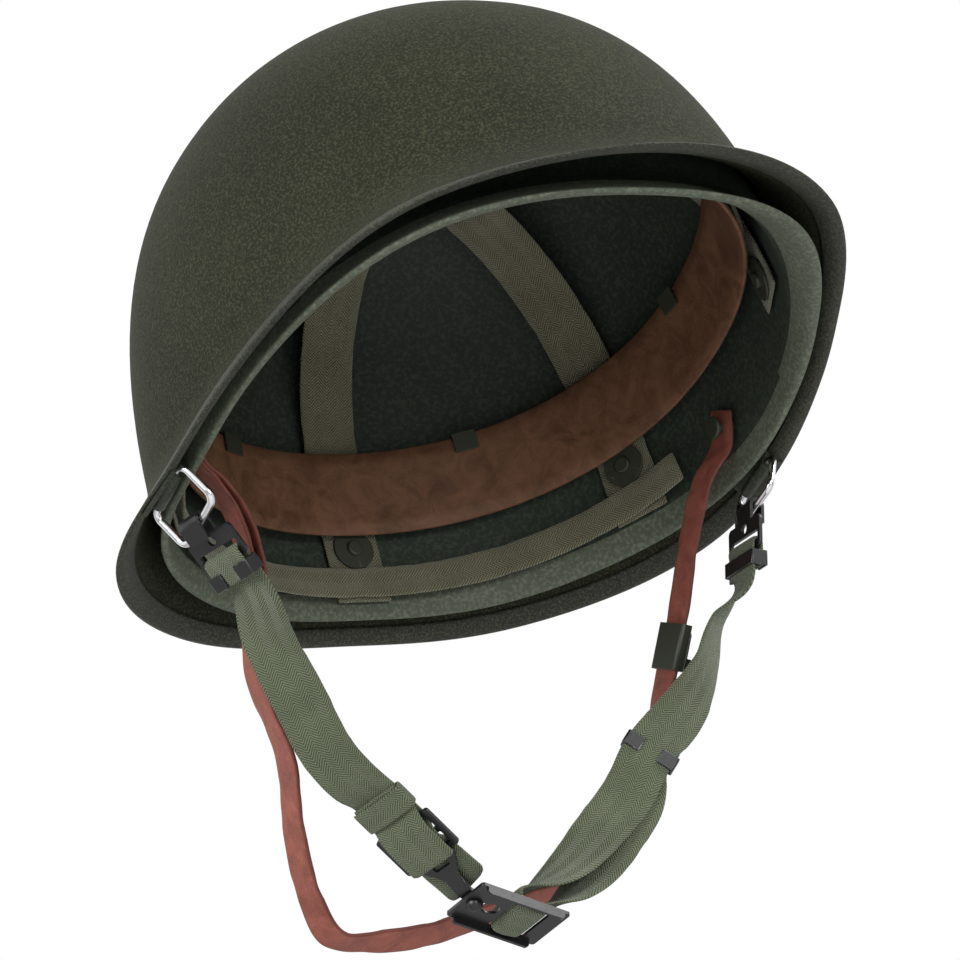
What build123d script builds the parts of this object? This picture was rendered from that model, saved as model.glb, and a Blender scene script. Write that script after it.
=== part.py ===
from build123d import *
import math
import os

# Steel pot helmet with its liner and both chin straps, buckled as worn.
# Millimetres. +Z is up, the visor faces -Y, the wearer's left is +X.
# The origin is the centre of the opening for the head, level with the lowest rim.

os.makedirs("parts", exist_ok=True)

# Steel pot: a dome of super-elliptical plan and profile, flared into a visor and a rear lip
pot_half_width = 116.5
pot_front = 126.0
pot_rear = 112.5
pot_height = 167.3
pot_wall = 1.1
crown_fullness = 2.69
plan_fullness = 2.13
visor_flare = 31.5
flare_rise = 32.0
flare_power = 1.8
flare_shares = [1.0, 0.72, 0.245, 0.195, 0.515, 0.62, 0.435]
flare_rise_shares = [1.0, 0.94, 0.6, 0.5, 0.81, 1.06, 1.0]

# Height of the rim along the side view, every rim_step from front to rear
rim_rise = 33.0
rim_step = 40.0
rim_front = 160.0
rim_rise_shares = [1.0, 1.0, 0.8, 0.52, 0.27, 0.17, 0.15, 0.17]

# Sections of the domes: heights as shares of the dome, and the lean of the lowest ones
level_shares = [0.024, 0.07, 0.12, 0.18, 0.27, 0.39, 0.52, 0.64, 0.75, 0.84, 0.91, 0.96, 0.985]
skirt_levels = 5
lean_share = 0.105
lean_end_share = 0.66
crown_cap_share = 0.05
ring_points = 24

# Folded edging on the rim
edging_wall = 0.8
edging_depth = 4.5

# Liner: a fibre shell under the pot
liner_gap = 1.6
liner_wall = 2.6
liner_flare = 15.0
liner_flare_shares = [0.93, 1.0, 0.25, 0.0, 0.2, 0.28, 0.05]
liner_flare_rise = 20.0
liner_lift = 3.5
liner_lift_shares = [-0.3, -0.8, -0.4, 0.0, 0.3, 0.9, 1.0, 0.4]

# Bails of round wire, in brackets at the rim
hinge_side = 118.5
hinge_back = 13.0
hinge_up = 8.0
hinge_dip = 8.0
wire = 2.8
bail_width = 27.0
bail_reach = 16.0
bail_corner = 3.5
bail_lean = 27.8
hinge_clearance = 0.075
bracket_wall = 1.9
bracket_length = 24.0
bracket_height = 10.0
knuckle_length = 18.0
knuckle_wall = 0.9

# Strap clips, bent from sheet, hooked on the bails
clip_sheet = 1.2
clip_play = 0.3
clip_skew = 20.0
clip_shift = 3.0
clip_lean_right = 35.0
clip_lean_left = 12.0
clip_hook_width = 10.0
clip_hook_reach = 4.5
clip_width = 23.5
clip_length = 15.0
clip_shoulder = 4.2
clip_hole = 2.0
clip_bar = 2.0
clip_slot = 3.6
clip_slot_margin = 1.7

# Webbing of the chin strap
webbing_width = 19.0
webbing_thick = 1.5
webbing_play = 0.35
webbing_tail = 9.0
webbing_run = 12.0
webbing_bend = 2.0
webbing_bend_angle = 60.0
tail_length = 15.0
tail_skew = 4.0
tail_corner = 3.0
tail_dip = 6.0

# The strap hangs in a plane that leans back; routes are (out, down, roll) with shares
# of the hinges' half spacing and of the strap's drop, and the roll in degrees
strap_tilt = 21.75
strap_drop = 150.0
right_route_shares = [(-0.722, 0.344, 40), (-0.64, 0.482, 54), (-0.56, 0.61, 50), (-0.49, 0.672, 44)]
left_route_shares = [(0.805, 0.341, 42), (0.74, 0.46, 62), (0.676, 0.529, 85), (0.595, 0.59, 108)]
front_route_shares = [(0.433, 0.732, 121), (0.316, 0.82, 130), (0.194, 0.897, 155)]
back_route_shares = [(0.46, 0.755, 121), (0.383, 0.835, 131), (0.245, 0.94, 158)]
slide_out_share = -0.3
slide_down_share = 0.817
slide_fall = 45.0
slide_roll = 36.0
plate_out_share = -0.022
plate_down_share = 0.995
plate_fall = 21.0
plate_roll = 24.0
keeper_out_share = 0.516
keeper_down_share = 0.647
keeper_fall = 132.0
keeper_roll = 117.0

# Crimped keepers on the doubled webbing
keeper_sheet = 0.8
keeper_length = 5.5
keeper_play = 0.15
keeper_claw = 6.0
keeper_band_length = 9.0
keeper_band_gap = 2.9

# Adjuster slide with its hook, and the slotted plate that the hook enters
slide_length = 17.0
slide_width = 24.0
slide_bar = 2.2
slide_sheet = 1.4
weave_play = 0.2
hook_root = 18.0
hook_width = 6.5
hook_neck = 8.5
hook_ball = 2.9
plate_length = 36.0
plate_width = 23.5
plate_sheet = 1.2
plate_fold = 3.0
plate_slot = 3.4
plate_bar = 8.0
plate_end = 6.0
plate_margin = 1.2
keyhole_width = 3.8
keyhole_length = 6.5
keyhole_round = 3.3

# Suspension in the liner: six points on the wall, in a plane that leans up to the front
suspension_points = 6
suspension_up = 44.0
seat_play = 0.3
washer_round = 8.0
washer_thick = 1.0
rivet_neck = 1.5
rivet_round = 3.0
rivet_height = 1.4
leg_width = 22.0
leg_thick = 1.4
leg_lift = 1.7
leg_below = 9.0
crown_room = 26.0
crown_apothem = 24.0
leg_shares = [0.0, 0.27, 0.5, 0.7, 0.86, 0.95]
sleeve_wall = 1.4
lace = 2.6
lace_turn = 4.0
band_height = 25.0
band_thick = 1.5
band_up = 66.0
sweat_height = 32.0
sweat_thick = 1.6
band_clip_width = 9.0
band_clip_sheet = 0.8
band_clip_depth = 8.0
clip_room = 0.8
clip_fold_room = 1.6
nape_height = 12.0
nape_drop = 12.0
nape_overlap = 12.0

# Leather strap on its studs; its route is written as the chin strap's is
leather_width = 12.7
leather_thick = 1.8
leather_tilt = 31.0
leather_drop = 175.0
stud_back = 9.0
stud_up = 27.0
stud_base = 1.2
stud_round = 4.5
stud_neck = 1.8
stud_head = 1.2
leather_right_shares = [(-1.0, -0.037, 0), (-1.0, 0.037, 0), (-0.93, 0.085, 0), (-0.856, 0.15, 0)]
leather_right_shares += [(-0.808, 0.23, 2), (-0.771, 0.486, 8), (-0.672, 0.632, 12), (-0.642, 0.783, 18)]
leather_right_shares += [(-0.588, 0.909, 28), (-0.51, 0.99, 40), (-0.339, 1.005, 49), (-0.152, 1.0, 49)]
leather_right_shares += [(0.032, 0.975, 49), (0.267, 0.947, 48), (0.493, 0.918, 40), (0.606, 0.853, 30)]
leather_right_shares += [(0.658, 0.758, 18)]
leather_left_shares = [(0.878, 0.2, 2), (0.93, 0.1, 0), (1.0, 0.037, 0), (1.0, -0.037, 0)]
double_shares = [(-0.9845, -0.037, 0), (-0.9845, 0.037, 0), (-0.89, 0.095, 0), (-0.816, 0.16, 0)]
double_shares += [(-0.772, 0.24, 2), (-0.762, 0.3, 3)]

# Buckle of the leather strap, with its lever
buckle_out_share = 0.792
buckle_down_share = 0.451
buckle_fall = -76.0
buckle_length = 17.0
buckle_sheet = 1.4
lever_length = 12.0
lever_width = 8.0
lever_sheet = 1.3
lever_pin = 0.8
lever_boss = 1.5
pin_clearance = 0.06
ear_spread = 5.2

cut_overrun = 5.0


def blend(table, place):
    """Smooth value between evenly spaced entries, flat at both ends."""
    last = len(table) - 1
    place = max(0.0, min(float(last), place))
    i = min(int(place), last - 1)
    part = place - i
    before = table[i - 1] if i > 0 else table[1]
    after = table[i + 2] if i + 2 <= last else table[last - 1]
    rise = (table[i + 1] - before) / 2
    fall = (after - table[i]) / 2
    value = (2 * part**3 - 3 * part**2 + 1) * table[i]
    value += (part**3 - 2 * part**2 + part) * rise
    value += (3 * part**2 - 2 * part**3) * table[i + 1]
    return value + (part**3 - part**2) * fall


def lip(flare, shares, rise, lift, lift_shares):
    """What a dome does near its rim: how far it flares, how high that starts, how high it ends."""
    return {"flare": flare, "shares": shares, "rise": rise, "lift": lift, "lift_shares": lift_shares}


pot_lip = lip(visor_flare, flare_shares, flare_rise, 0, [0] * len(rim_rise_shares))
liner_lip = lip(liner_flare, liner_flare_shares, liner_flare_rise, liner_lift, liner_lift_shares)


def rim_height(back, edge):
    place = (back + rim_front) / rim_step
    return rim_rise * blend(rim_rise_shares, place) + edge["lift"] * blend(edge["lift_shares"], place)


def dome_radius(turn, up, inset):
    """Plan radius of the plain dome at a turn from the front."""
    height = pot_height - inset
    if up >= height:
        return 0.0
    fade = (1 - (max(up, 0) / height) ** crown_fullness) ** (1 / crown_fullness)
    half_length = (pot_front if math.cos(turn) > 0 else pot_rear) - inset
    half_width = pot_half_width - inset
    along = abs(math.cos(turn)) / half_length
    across = abs(math.sin(turn)) / half_width
    return fade / (along**plan_fullness + across**plan_fullness) ** (1 / plan_fullness)


def radius(turn, up, inset, edge):
    """Plan radius with the flare, kept to a true wall thickness on the slope."""
    place = math.acos(max(-1.0, min(1.0, math.cos(turn)))) / math.pi * (len(flare_shares) - 1)
    flare = edge["flare"] * blend(edge["shares"], place)
    rise = edge["rise"] * blend(flare_rise_shares, place)
    rim_back = -(dome_radius(turn, 0, 0) + flare) * math.cos(turn)
    above = up - rim_height(rim_back, edge)
    plain = dome_radius(turn, up, inset)
    if above >= rise:
        return plain
    part = (rise - above) / rise
    slope = flare * flare_power / rise * part ** (flare_power - 1)
    return plain + flare * part**flare_power - inset * (math.sqrt(1 + slope**2) - 1)


def ring(level, lean, inset, edge):
    """Closed section of a dome in a plane that leans up towards the front."""
    points = []
    for i in range(ring_points):
        turn = 2 * math.pi * i / ring_points
        out = dome_radius(turn, level, inset)
        for _ in range(40):
            out = (out + radius(turn, level + lean * out * math.cos(turn), inset, edge)) / 2
        up = level + lean * out * math.cos(turn)
        points.append(Vector(-out * math.sin(turn), -out * math.cos(turn), up))
    parameters = [i / ring_points for i in range(ring_points + 1)]
    return Wire([Edge.make_spline(points, periodic=True, parameters=parameters)])


def bowl(inset, edge, drop=0.0, whole=True):
    """Solid dome, or only its skirt, inset from the pot's outer face."""
    height = pot_height - inset
    shares = level_shares if whole else level_shares[:skirt_levels]
    rings = []
    for i, share in enumerate(shares):
        level = share * height - (drop if i == 0 else 0)
        lean = lean_share * max(0.0, 1 - share / lean_end_share)
        rings.append(ring(level, lean, inset, edge))
    if whole:
        cap = height * (1 - crown_cap_share**crown_fullness) ** (1 / crown_fullness)
        rings.append(ring(cap, 0, inset, edge))
    return Solid.make_loft(rings, ruled=True)


def under_rim(edge, lift):
    """Everything below the rim line raised by lift."""
    reach = rim_front + rim_step
    backs = [-reach + rim_step / 2 * i for i in range(int(4 * reach / rim_step) + 1)]
    line = Spline(*[(back, rim_height(back, edge) + lift) for back in backs])
    low = -2 * rim_rise
    sides = Polyline(line @ 1, (backs[-1], low), (backs[0], low), line @ 0)
    profile = Plane.YZ * make_face(line + sides)
    return extrude(profile, amount=2 * pot_half_width, both=True)


def one(shape):
    """The largest solid of a result."""
    return max(shape.solids(), key=lambda solid: solid.volume)


# The pot and its edging
pot_inner = bowl(pot_wall, pot_lip, cut_overrun)
pot_rim = under_rim(pot_lip, 0)
steel_shell = one(bowl(0, pot_lip) - pot_inner - pot_rim)

fold = bowl(-edging_wall, pot_lip, 0, False) - bowl(pot_wall + edging_wall, pot_lip, cut_overrun, False)
fold = fold & under_rim(pot_lip, edging_depth)
rim_edging = one(fold - under_rim(pot_lip, -edging_wall) - steel_shell)

# The liner
liner_inset = pot_wall + liner_gap
liner_rim = under_rim(liner_lip, 0)
liner_outer = bowl(liner_inset, liner_lip)
liner_inner = bowl(liner_inset + liner_wall, liner_lip, cut_overrun)
liner_shell = one(liner_outer - liner_inner - liner_rim)

# Directions shared by the bails and the strap
hinge_axis = Vector(0, math.cos(math.radians(hinge_dip)), -math.sin(math.radians(hinge_dip)))
hinge_down = Vector(0, -math.sin(math.radians(hinge_dip)), -math.cos(math.radians(hinge_dip)))
strap_down = Vector(0, math.sin(math.radians(strap_tilt)), -math.cos(math.radians(strap_tilt)))
strap_normal = Vector(0, math.cos(math.radians(strap_tilt)), math.sin(math.radians(strap_tilt)))


def hinge_centre(side):
    return Vector(side * hinge_side, hinge_back, hinge_up)


def leaning(side, angle):
    """Direction square to the hinge axis, leaning inwards from straight down."""
    return Vector(-side * math.sin(math.radians(angle)), 0, 0) + hinge_down * math.cos(math.radians(angle))


def frame_at(origin, across, along):
    """Plane with X across and Y along."""
    return Plane(origin=origin, x_dir=across, z_dir=across.cross(along))


def loop_bracket(side):
    """Plate welded inside the rim, its lower edge rolled round the bail."""
    centre = hinge_centre(side)
    frame = frame_at(centre, hinge_axis, leaning(side, 0))
    skin = bowl(pot_wall, pot_lip, 0, False) - bowl(pot_wall + bracket_wall, pot_lip, cut_overrun, False)
    size = bracket_height + rim_rise
    block = Box(bracket_length, size, pot_half_width / 2, align=(Align.CENTER, Align.MAX, Align.CENTER))
    knuckle = frame * Rot(Y=90) * Cylinder(wire / 2 + hinge_clearance + knuckle_wall, knuckle_length)
    bore = frame * Rot(Y=90) * Cylinder(wire / 2 + hinge_clearance, bracket_length + cut_overrun)
    lowered = frame * Pos(Y=edging_depth / 2) * block
    plate = one(skin & lowered)
    ceiling = frame * Pos(Y=-bracket_height) * block
    plate = one(plate - ceiling)
    return one(plate + knuckle - bore - rim_edging - steel_shell)


def strap_loop(side):
    """Closed bail of round wire."""
    frame = frame_at(hinge_centre(side), hinge_axis, leaning(side, bail_lean))
    outline = frame * Pos(Y=bail_reach / 2) * RectangleRounded(bail_width, bail_reach, bail_corner)
    path = outline.face().outer_wire()
    start = Plane(origin=path @ 0, z_dir=path % 0)
    return one(sweep(start * Circle(wire / 2), path=path))


def clip_frame(side, lean):
    """At the bail's outer bar, skewed towards the strap."""
    bar = hinge_centre(side) + leaning(side, bail_lean) * bail_reach + hinge_axis * clip_shift
    down = leaning(side, lean)
    turn = math.radians(clip_skew)
    across = (hinge_axis * math.cos(turn) - down * math.sin(turn)) * -side
    along = down * math.cos(turn) + hinge_axis * math.sin(turn)
    return frame_at(bar, across, along)


clip_offset = wire / 2 + clip_play + clip_sheet / 2
clip_hook_depth = clip_hook_width / 2 * math.tan(math.radians(clip_skew))


def strap_clip(frame):
    """Sheet clip: hook over the bail, window below it, bar for the webbing."""
    bend = (-clip_hook_depth, 0)
    hook = Polyline((clip_shoulder, -clip_offset), (-clip_hook_depth, -clip_offset))
    hook += CenterArc(bend, clip_offset, 90, 180)
    hook += Line((-clip_hook_depth, clip_offset), (clip_hook_reach, clip_offset))
    hook = Plane.YZ * trace(hook, clip_sheet)
    hook = extrude(hook, amount=clip_hook_width / 2, both=True)
    length = clip_length - clip_shoulder
    body = Pos(Y=clip_shoulder + length / 2) * RectangleRounded(clip_width, length + clip_sheet, clip_bar)
    slot_width = clip_width - 2 * clip_slot_margin
    slot = RectangleRounded(slot_width, clip_slot, clip_bar / 3)
    slot = Pos(Y=clip_length - clip_bar - clip_slot / 2) * slot
    hole = Pos(Y=clip_shoulder + clip_hole) * Circle(clip_hole)
    plate = extrude(body - slot - hole, amount=clip_sheet / 2, both=True)
    return one(frame * (Pos(Z=-clip_offset) * plate + hook))


webbing_ring = clip_sheet / 2 + webbing_play + webbing_thick / 2


def clip_webbing(frame):
    """The webbing's end: round the clip's bar and back along itself."""
    turn_at = clip_length - clip_bar + clip_sheet / 2
    front = -clip_offset - webbing_ring
    back = -clip_offset + webbing_ring
    path = Line((turn_at + webbing_run, front), (turn_at, front))
    path += CenterArc((turn_at, -clip_offset), webbing_ring, 90, 180)
    path += Line((turn_at, back), (turn_at + webbing_tail, back))
    band = Plane.YZ * trace(path, webbing_thick)
    return frame * extrude(band, amount=webbing_width / 2, both=True)


def strap_point(out, down, lift=0.0):
    """Point of the chin strap's plane: out to the wearer's left, down from the hinges."""
    base = Vector(out, hinge_back, hinge_up)
    return base + strap_down * down + strap_normal * lift


def rolled(side, along, roll, normal):
    """Direction across a band that runs along in a plane, rolled from the plane's normal."""
    inwards = normal.cross(along) * side
    turn = math.radians(roll)
    return (normal * math.cos(turn) - inwards * math.sin(turn)) * -side


def section_faces(stations, width, thick):
    """Rectangles square to a route of (centre, across, along) stations."""
    faces = []
    last = len(stations) - 1
    for i, (centre, across, along) in enumerate(stations):
        if along is None:
            ahead = stations[min(i + 1, last)][0] - stations[max(i - 1, 0)][0]
            along = ahead.normalized()
        across = (across - along * across.dot(along)).normalized()
        faces.append((Plane(origin=centre, x_dir=across, z_dir=along) * Rectangle(width, thick)).face())
    return faces


def ribbon(stations, width, thick):
    """Flat band along a route."""
    return loft(section_faces(stations, width, thick), ruled=True)


def strap_stations(side, shares, ahead_of=None):
    """Stations from (out, down, roll) shares, listed away from the clip."""
    points = [strap_point(out * hinge_side, down * strap_drop) for out, down, _ in shares]
    stations = []
    last = len(points) - 1
    for i, (_, _, roll) in enumerate(shares):
        before = points[i - 1] if i > 0 else (ahead_of or points[0])
        along = (points[min(i + 1, last)] - before).normalized()
        stations.append((points[i], rolled(side, along, roll, strap_normal), None))
    return stations


def band_frame(centre, along, across):
    """Plane on a band: X across, Y along, Z outwards."""
    across = (across - along * across.dot(along)).normalized()
    return Plane(origin=centre, x_dir=across, z_dir=across.cross(along))


def station_at(frame, along=0.0, lift=0.0):
    """Station on a band's plane."""
    centre = frame.from_local_coords(Vector(0, along, lift))
    return (centre, frame.x_dir, frame.z_dir.cross(frame.x_dir))


def profile(frame, sketch, width):
    """Solid of a Y-Z profile on a band's plane, centred across it."""
    return frame * extrude(Plane.YZ * sketch, amount=width / 2, both=True)


def cross_band(frame, place, width, depth, sheet, length, claw=0.0):
    """Sleeve round a band, or only its claws on the outer face."""
    width = width + 2 * keeper_play
    height = depth + 2 * keeper_play
    outline = RectangleRounded(width + 2 * sheet, height + 2 * sheet, sheet) - Rectangle(width, height)
    sleeve = extrude(Plane.XZ * outline, amount=length / 2, both=True)
    if claw:
        gap = Box(width - 2 * claw, length + cut_overrun, height)
        sleeve = sleeve - Pos(Z=height / 2 + sheet) * gap
    return one(frame * Pos(Y=place[0], Z=place[1]) * sleeve)


# Right side of the chin strap: clip, webbing, slide, hook and slotted plate
right_clip = clip_frame(-1, clip_lean_right)
left_clip = clip_frame(1, clip_lean_left)
strap_clip_right = strap_clip(right_clip)
strap_clip_left = strap_clip(left_clip)


def plane_direction(angle, down):
    """Direction in a strap's plane, an angle below straight left."""
    turn = math.radians(angle)
    return Vector(math.cos(turn), 0, 0) + down * math.sin(turn)


slide_along = plane_direction(slide_fall, strap_down)
slide_centre = strap_point(slide_out_share * hinge_side, slide_down_share * strap_drop)
slide_frame = band_frame(slide_centre, slide_along, rolled(-1, slide_along, slide_roll, strap_normal))
plate_along = plane_direction(plate_fall, strap_down)
plate_centre = strap_point(plate_out_share * hinge_side, plate_down_share * strap_drop)
plate_frame = band_frame(plate_centre, plate_along, rolled(-1, plate_along, plate_roll, strap_normal))

weave = slide_sheet / 2 + weave_play + webbing_thick / 2
slide_gap = (slide_length - 3 * slide_bar) / 2
adjuster = RectangleRounded(slide_width, slide_length, slide_bar / 2)
for way in (-1, 1):
    gap = RectangleRounded(slide_width - 2 * slide_bar, slide_gap, slide_bar / 4)
    adjuster -= Pos(Y=way * (slide_bar + slide_gap) / 2) * gap
adjuster_slide = one(slide_frame * extrude(adjuster, amount=slide_sheet / 2, both=True))

# The webbing weaves over the slide's middle bar, and its tail lies beyond the slide
weave_start = slide_length / 2 + keeper_band_gap + keeper_band_length + webbing_thick
weave_turn = slide_length / 2 - slide_bar
weave_points = [(-weave_start, -weave), (-weave_turn, -weave), (-slide_bar / 2, weave)]
weave_points += [(slide_bar / 2, weave), (weave_turn, -weave), (slide_length / 2 + slide_bar, -weave)]
weave_line = FilletPolyline(*weave_points, radius=webbing_thick)
woven = profile(slide_frame, trace(weave_line, webbing_thick), webbing_width)
half = webbing_width / 2
tail_start = slide_length / 2 + slide_bar
tail_points = [(-half, -webbing_thick / 2), (half, -webbing_thick / 2)]
tail_points += [(half + tail_skew, tail_length - tail_skew), (tail_skew - half, tail_length)]
tail_face = make_face(Polyline(*tail_points, close=True))
tail_corners = tail_face.vertices().sort_by(Axis.Y)[-2:]
tail_face = fillet(tail_corners, radius=tail_corner)
tail = Rot(X=-tail_dip) * extrude(tail_face, amount=webbing_thick / 2, both=True)
tail = slide_frame * Pos(Y=tail_start, Z=-weave) * tail

flap_low = webbing_thick - weave
flap_high = weave + webbing_thick + weave_play
flap_points = [(-weave_start, flap_low), (-slide_length / 2 - keeper_band_gap, flap_low)]
flap_points += [(-slide_length / 2, weave)]
flap_points += [(-slide_bar, flap_high), (slide_length / 2 + slide_bar / 2, flap_high)]
flap_line = FilletPolyline(*flap_points, radius=webbing_thick)
flap = profile(slide_frame, trace(flap_line, webbing_thick), webbing_width)

webbing_start = clip_length - clip_bar + clip_sheet / 2
right_end = station_at(right_clip, webbing_start + webbing_run, -clip_offset - webbing_ring)
right_join = station_at(slide_frame, -weave_start, -weave)
right_route = [right_end] + strap_stations(-1, right_route_shares, right_end[0]) + [right_join]
right_band = ribbon(right_route, webbing_width, webbing_thick)
chin_webbing_right = one(right_band + clip_webbing(right_clip) + woven + tail + flap)
keeper_back = (slide_length + keeper_band_length + webbing_thick) / 2 + keeper_band_gap
keeper_place = (-keeper_back, webbing_thick / 2 - weave)
keeper_wall = webbing_thick / 2
webbing_keeper = cross_band(
    slide_frame, keeper_place, webbing_width, 2 * webbing_thick, keeper_wall, keeper_band_length)

crimp_place = (webbing_start + webbing_tail - keeper_length / 2, -clip_offset)
crimp_depth = 2 * webbing_ring + webbing_thick


def claw_band(frame, place, depth):
    """Crimped keeper on the webbing."""
    return cross_band(frame, place, webbing_width, depth, keeper_sheet, keeper_length, keeper_claw)


webbing_crimp_right = claw_band(right_clip, crimp_place, crimp_depth)
webbing_crimp_left = claw_band(left_clip, crimp_place, crimp_depth)

upright = (Align.CENTER, Align.CENTER, Align.MIN)

# Slotted plate: a shallow channel with a keyhole and a bar between two slots
plate_half = plate_length / 2
bar_centre = plate_half - plate_end - plate_slot - plate_bar / 2
keyhole_centre = bar_centre - plate_bar / 2 - plate_slot - plate_margin - keyhole_round
keyhole_start = keyhole_centre - keyhole_length
outline = RectangleRounded(plate_width, plate_length, plate_margin)
for way in (-1, 1):
    opening = RectangleRounded(plate_width - 2 * plate_sheet - plate_margin, plate_slot, plate_margin / 2)
    outline -= Pos(Y=bar_centre + way * (plate_bar + plate_slot) / 2) * opening
outline -= Pos(Y=keyhole_centre) * Circle(keyhole_round)
outline -= Pos(Y=(keyhole_centre + keyhole_start) / 2) * Rectangle(keyhole_width, keyhole_length)
outline -= Pos(Y=keyhole_start) * Circle(keyhole_width / 2)
plate = extrude(outline, amount=plate_sheet / 2, both=True)
for way in (-1, 1):
    flange = Box(plate_sheet, plate_length - 4 * plate_margin, plate_fold, align=upright)
    flange = fillet(flange.edges().filter_by(Axis.X).sort_by(Axis.Z)[-2:], radius=plate_fold / 2)
    plate += Pos(X=way * (plate_width - plate_sheet) / 2) * flange
hook_plate = one(plate_frame * plate)

# Hook: a tapered arm from the slide, with a headed stud in the plate's keyhole
arm_start = slide_length / 2 + keeper_play
arm_end = arm_start + hook_neck
arm = Polyline((-hook_root / 2, arm_start), (hook_root / 2, arm_start), (hook_width / 2, arm_end),
               (-hook_width / 2, arm_end), close=True)
arm_slot = RectangleRounded(hook_width, hook_neck / 3, keeper_play)
arm = make_face(arm) - Pos(Y=arm_start + hook_neck / 3) * arm_slot
arm = slide_frame * extrude(arm, amount=slide_sheet / 2, both=True)
under_plate = plate_sheet / 2 + keeper_play + slide_sheet / 2
neck_route = [station_at(slide_frame, arm_start + hook_neck)]
plate_edge = plate_frame.from_local_coords(Vector(0, -plate_half, -under_plate - slide_sheet))
neck_route += [(plate_edge, plate_frame.x_dir, None)]
neck_route += [station_at(plate_frame, keyhole_start, -under_plate)]
neck_route += [station_at(plate_frame, keyhole_start + keyhole_width, -under_plate)]
neck = ribbon(neck_route, hook_width, slide_sheet)
stud_length = under_plate + plate_sheet / 2 + keeper_play
stud = Cylinder(keyhole_width / 2 - keeper_play, stud_length)
stud = Pos(Y=keyhole_start, Z=stud_length / 2 - under_plate) * stud
head = Pos(Y=keyhole_start, Z=plate_sheet / 2 + keeper_play) * Sphere(hook_ball, 0, align=upright)
chin_hook = one(arm + neck + plate_frame * (stud + head))


bar_ring = plate_bar / 2 - plate_sheet / 2
bar_reach = bar_ring + webbing_ring
leg_depths = {-1: plate_sheet + 2 * webbing_thick + webbing_play, 1: plate_sheet}


def leg_bend(way):
    """Centre of the bend in a leg of the bar's webbing, in the plate's Y and Z."""
    return (bar_centre + way * bar_reach + webbing_bend, -leg_depths[way])


def bar_webbing(frame):
    """Webbing that crosses the bar's outer face, leaves through both slots and bends away."""
    inner = bar_centre - bar_reach
    outer = bar_centre + bar_reach
    path = CenterArc(leg_bend(-1), webbing_bend, 180, webbing_bend_angle)
    path += Line((inner, -leg_depths[-1]), (inner, 0))
    path += CenterArc((bar_centre - bar_ring, 0), webbing_ring, 180, -90)
    path += Line((bar_centre - bar_ring, webbing_ring), (bar_centre + bar_ring, webbing_ring))
    path += CenterArc((bar_centre + bar_ring, 0), webbing_ring, 90, -90)
    path += Line((outer, 0), (outer, -leg_depths[1]))
    path += CenterArc(leg_bend(1), webbing_bend, 180, webbing_bend_angle)
    return profile(frame, trace(path, webbing_thick), webbing_width)


# Left side: webbing from the clip, through its keeper, round the plate's bar and back
bar_band = bar_webbing(plate_frame)
keeper_along = plane_direction(keeper_fall, strap_down)
keeper_centre = strap_point(keeper_out_share * hinge_side, keeper_down_share * strap_drop)
keeper_frame = band_frame(keeper_centre, keeper_along, rolled(1, keeper_along, keeper_roll, strap_normal))
layer = (webbing_thick + keeper_play) / 2
left_end = station_at(left_clip, webbing_start + webbing_run, -clip_offset - webbing_ring)
left_route = [left_end] + strap_stations(1, left_route_shares, left_end[0])
left_route += [station_at(keeper_frame, end, layer) for end in (-keeper_length, keeper_length)]


def leg_end(way):
    """Station where a leg of the bar's webbing ends, seen from the clip."""
    turn = math.radians(180 + webbing_bend_angle)
    middle, lift = leg_bend(way)
    place = Vector(0, middle + webbing_bend * math.cos(turn), lift + webbing_bend * math.sin(turn))
    away = plate_frame.from_local_coords(place + Vector(0, -math.sin(turn), math.cos(turn)))
    centre = plate_frame.from_local_coords(place)
    return (centre, plate_frame.x_dir, centre - away)


front_route = left_route + strap_stations(1, front_route_shares, left_route[-1][0]) + [leg_end(-1)]
back_route = [station_at(keeper_frame, end, -layer) for end in (-keeper_length, keeper_length)]
back_route += strap_stations(1, back_route_shares, back_route[-1][0]) + [leg_end(1)]
front_band = ribbon(front_route, webbing_width, webbing_thick)
back_band = ribbon(back_route, webbing_width, webbing_thick)
chin_webbing_left = one(front_band + back_band + clip_webbing(left_clip) + bar_band)
left_keeper = claw_band(keeper_frame, (0, 0), 2 * layer + webbing_thick)

# The suspension: washers and rivets on the liner's wall, webbing legs to a lace at the crown
liner_inside = liner_inset + liner_wall


def wall_level(base, turn, inset):
    """Height of a plane that leans up to the front, where it meets the liner's wall."""
    out = pot_half_width
    for _ in range(40):
        out = (out + radius(turn, base + lean_share * out * math.cos(turn), inset, liner_lip)) / 2
    return base + lean_share * out * math.cos(turn)


def wall_point(turn, up, inset):
    out = radius(turn, up, inset, liner_lip)
    return Vector(-out * math.sin(turn), -out * math.cos(turn), up)


def wall_frame(turn, up):
    """On the liner's inner wall: X level along it, Z inwards."""
    probe = washer_round / pot_half_width
    level = wall_point(turn + probe, up, liner_inside) - wall_point(turn - probe, up, liner_inside)
    rise = wall_point(turn, up + washer_round, liner_inside)
    rise -= wall_point(turn, up - washer_round, liner_inside)
    centre = wall_point(turn, up, liner_inside)
    inward = level.cross(rise).normalized()
    if inward.dot(Vector(centre.X, centre.Y, 0)) > 0:
        inward = -inward
    return Plane(origin=centre, x_dir=level, z_dir=inward)


turns = [2 * math.pi * i / suspension_points for i in range(suspension_points)]
frames = [wall_frame(turn, wall_level(suspension_up, turn, liner_inside)) for turn in turns]
washer_lift = leg_lift + leg_thick + seat_play
rivet_lift = washer_lift + washer_thick
crown_up = pot_height - liner_inside - crown_room
sleeve_bore = lace / 2 + seat_play
sleeve_round = sleeve_bore + sleeve_wall


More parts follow.
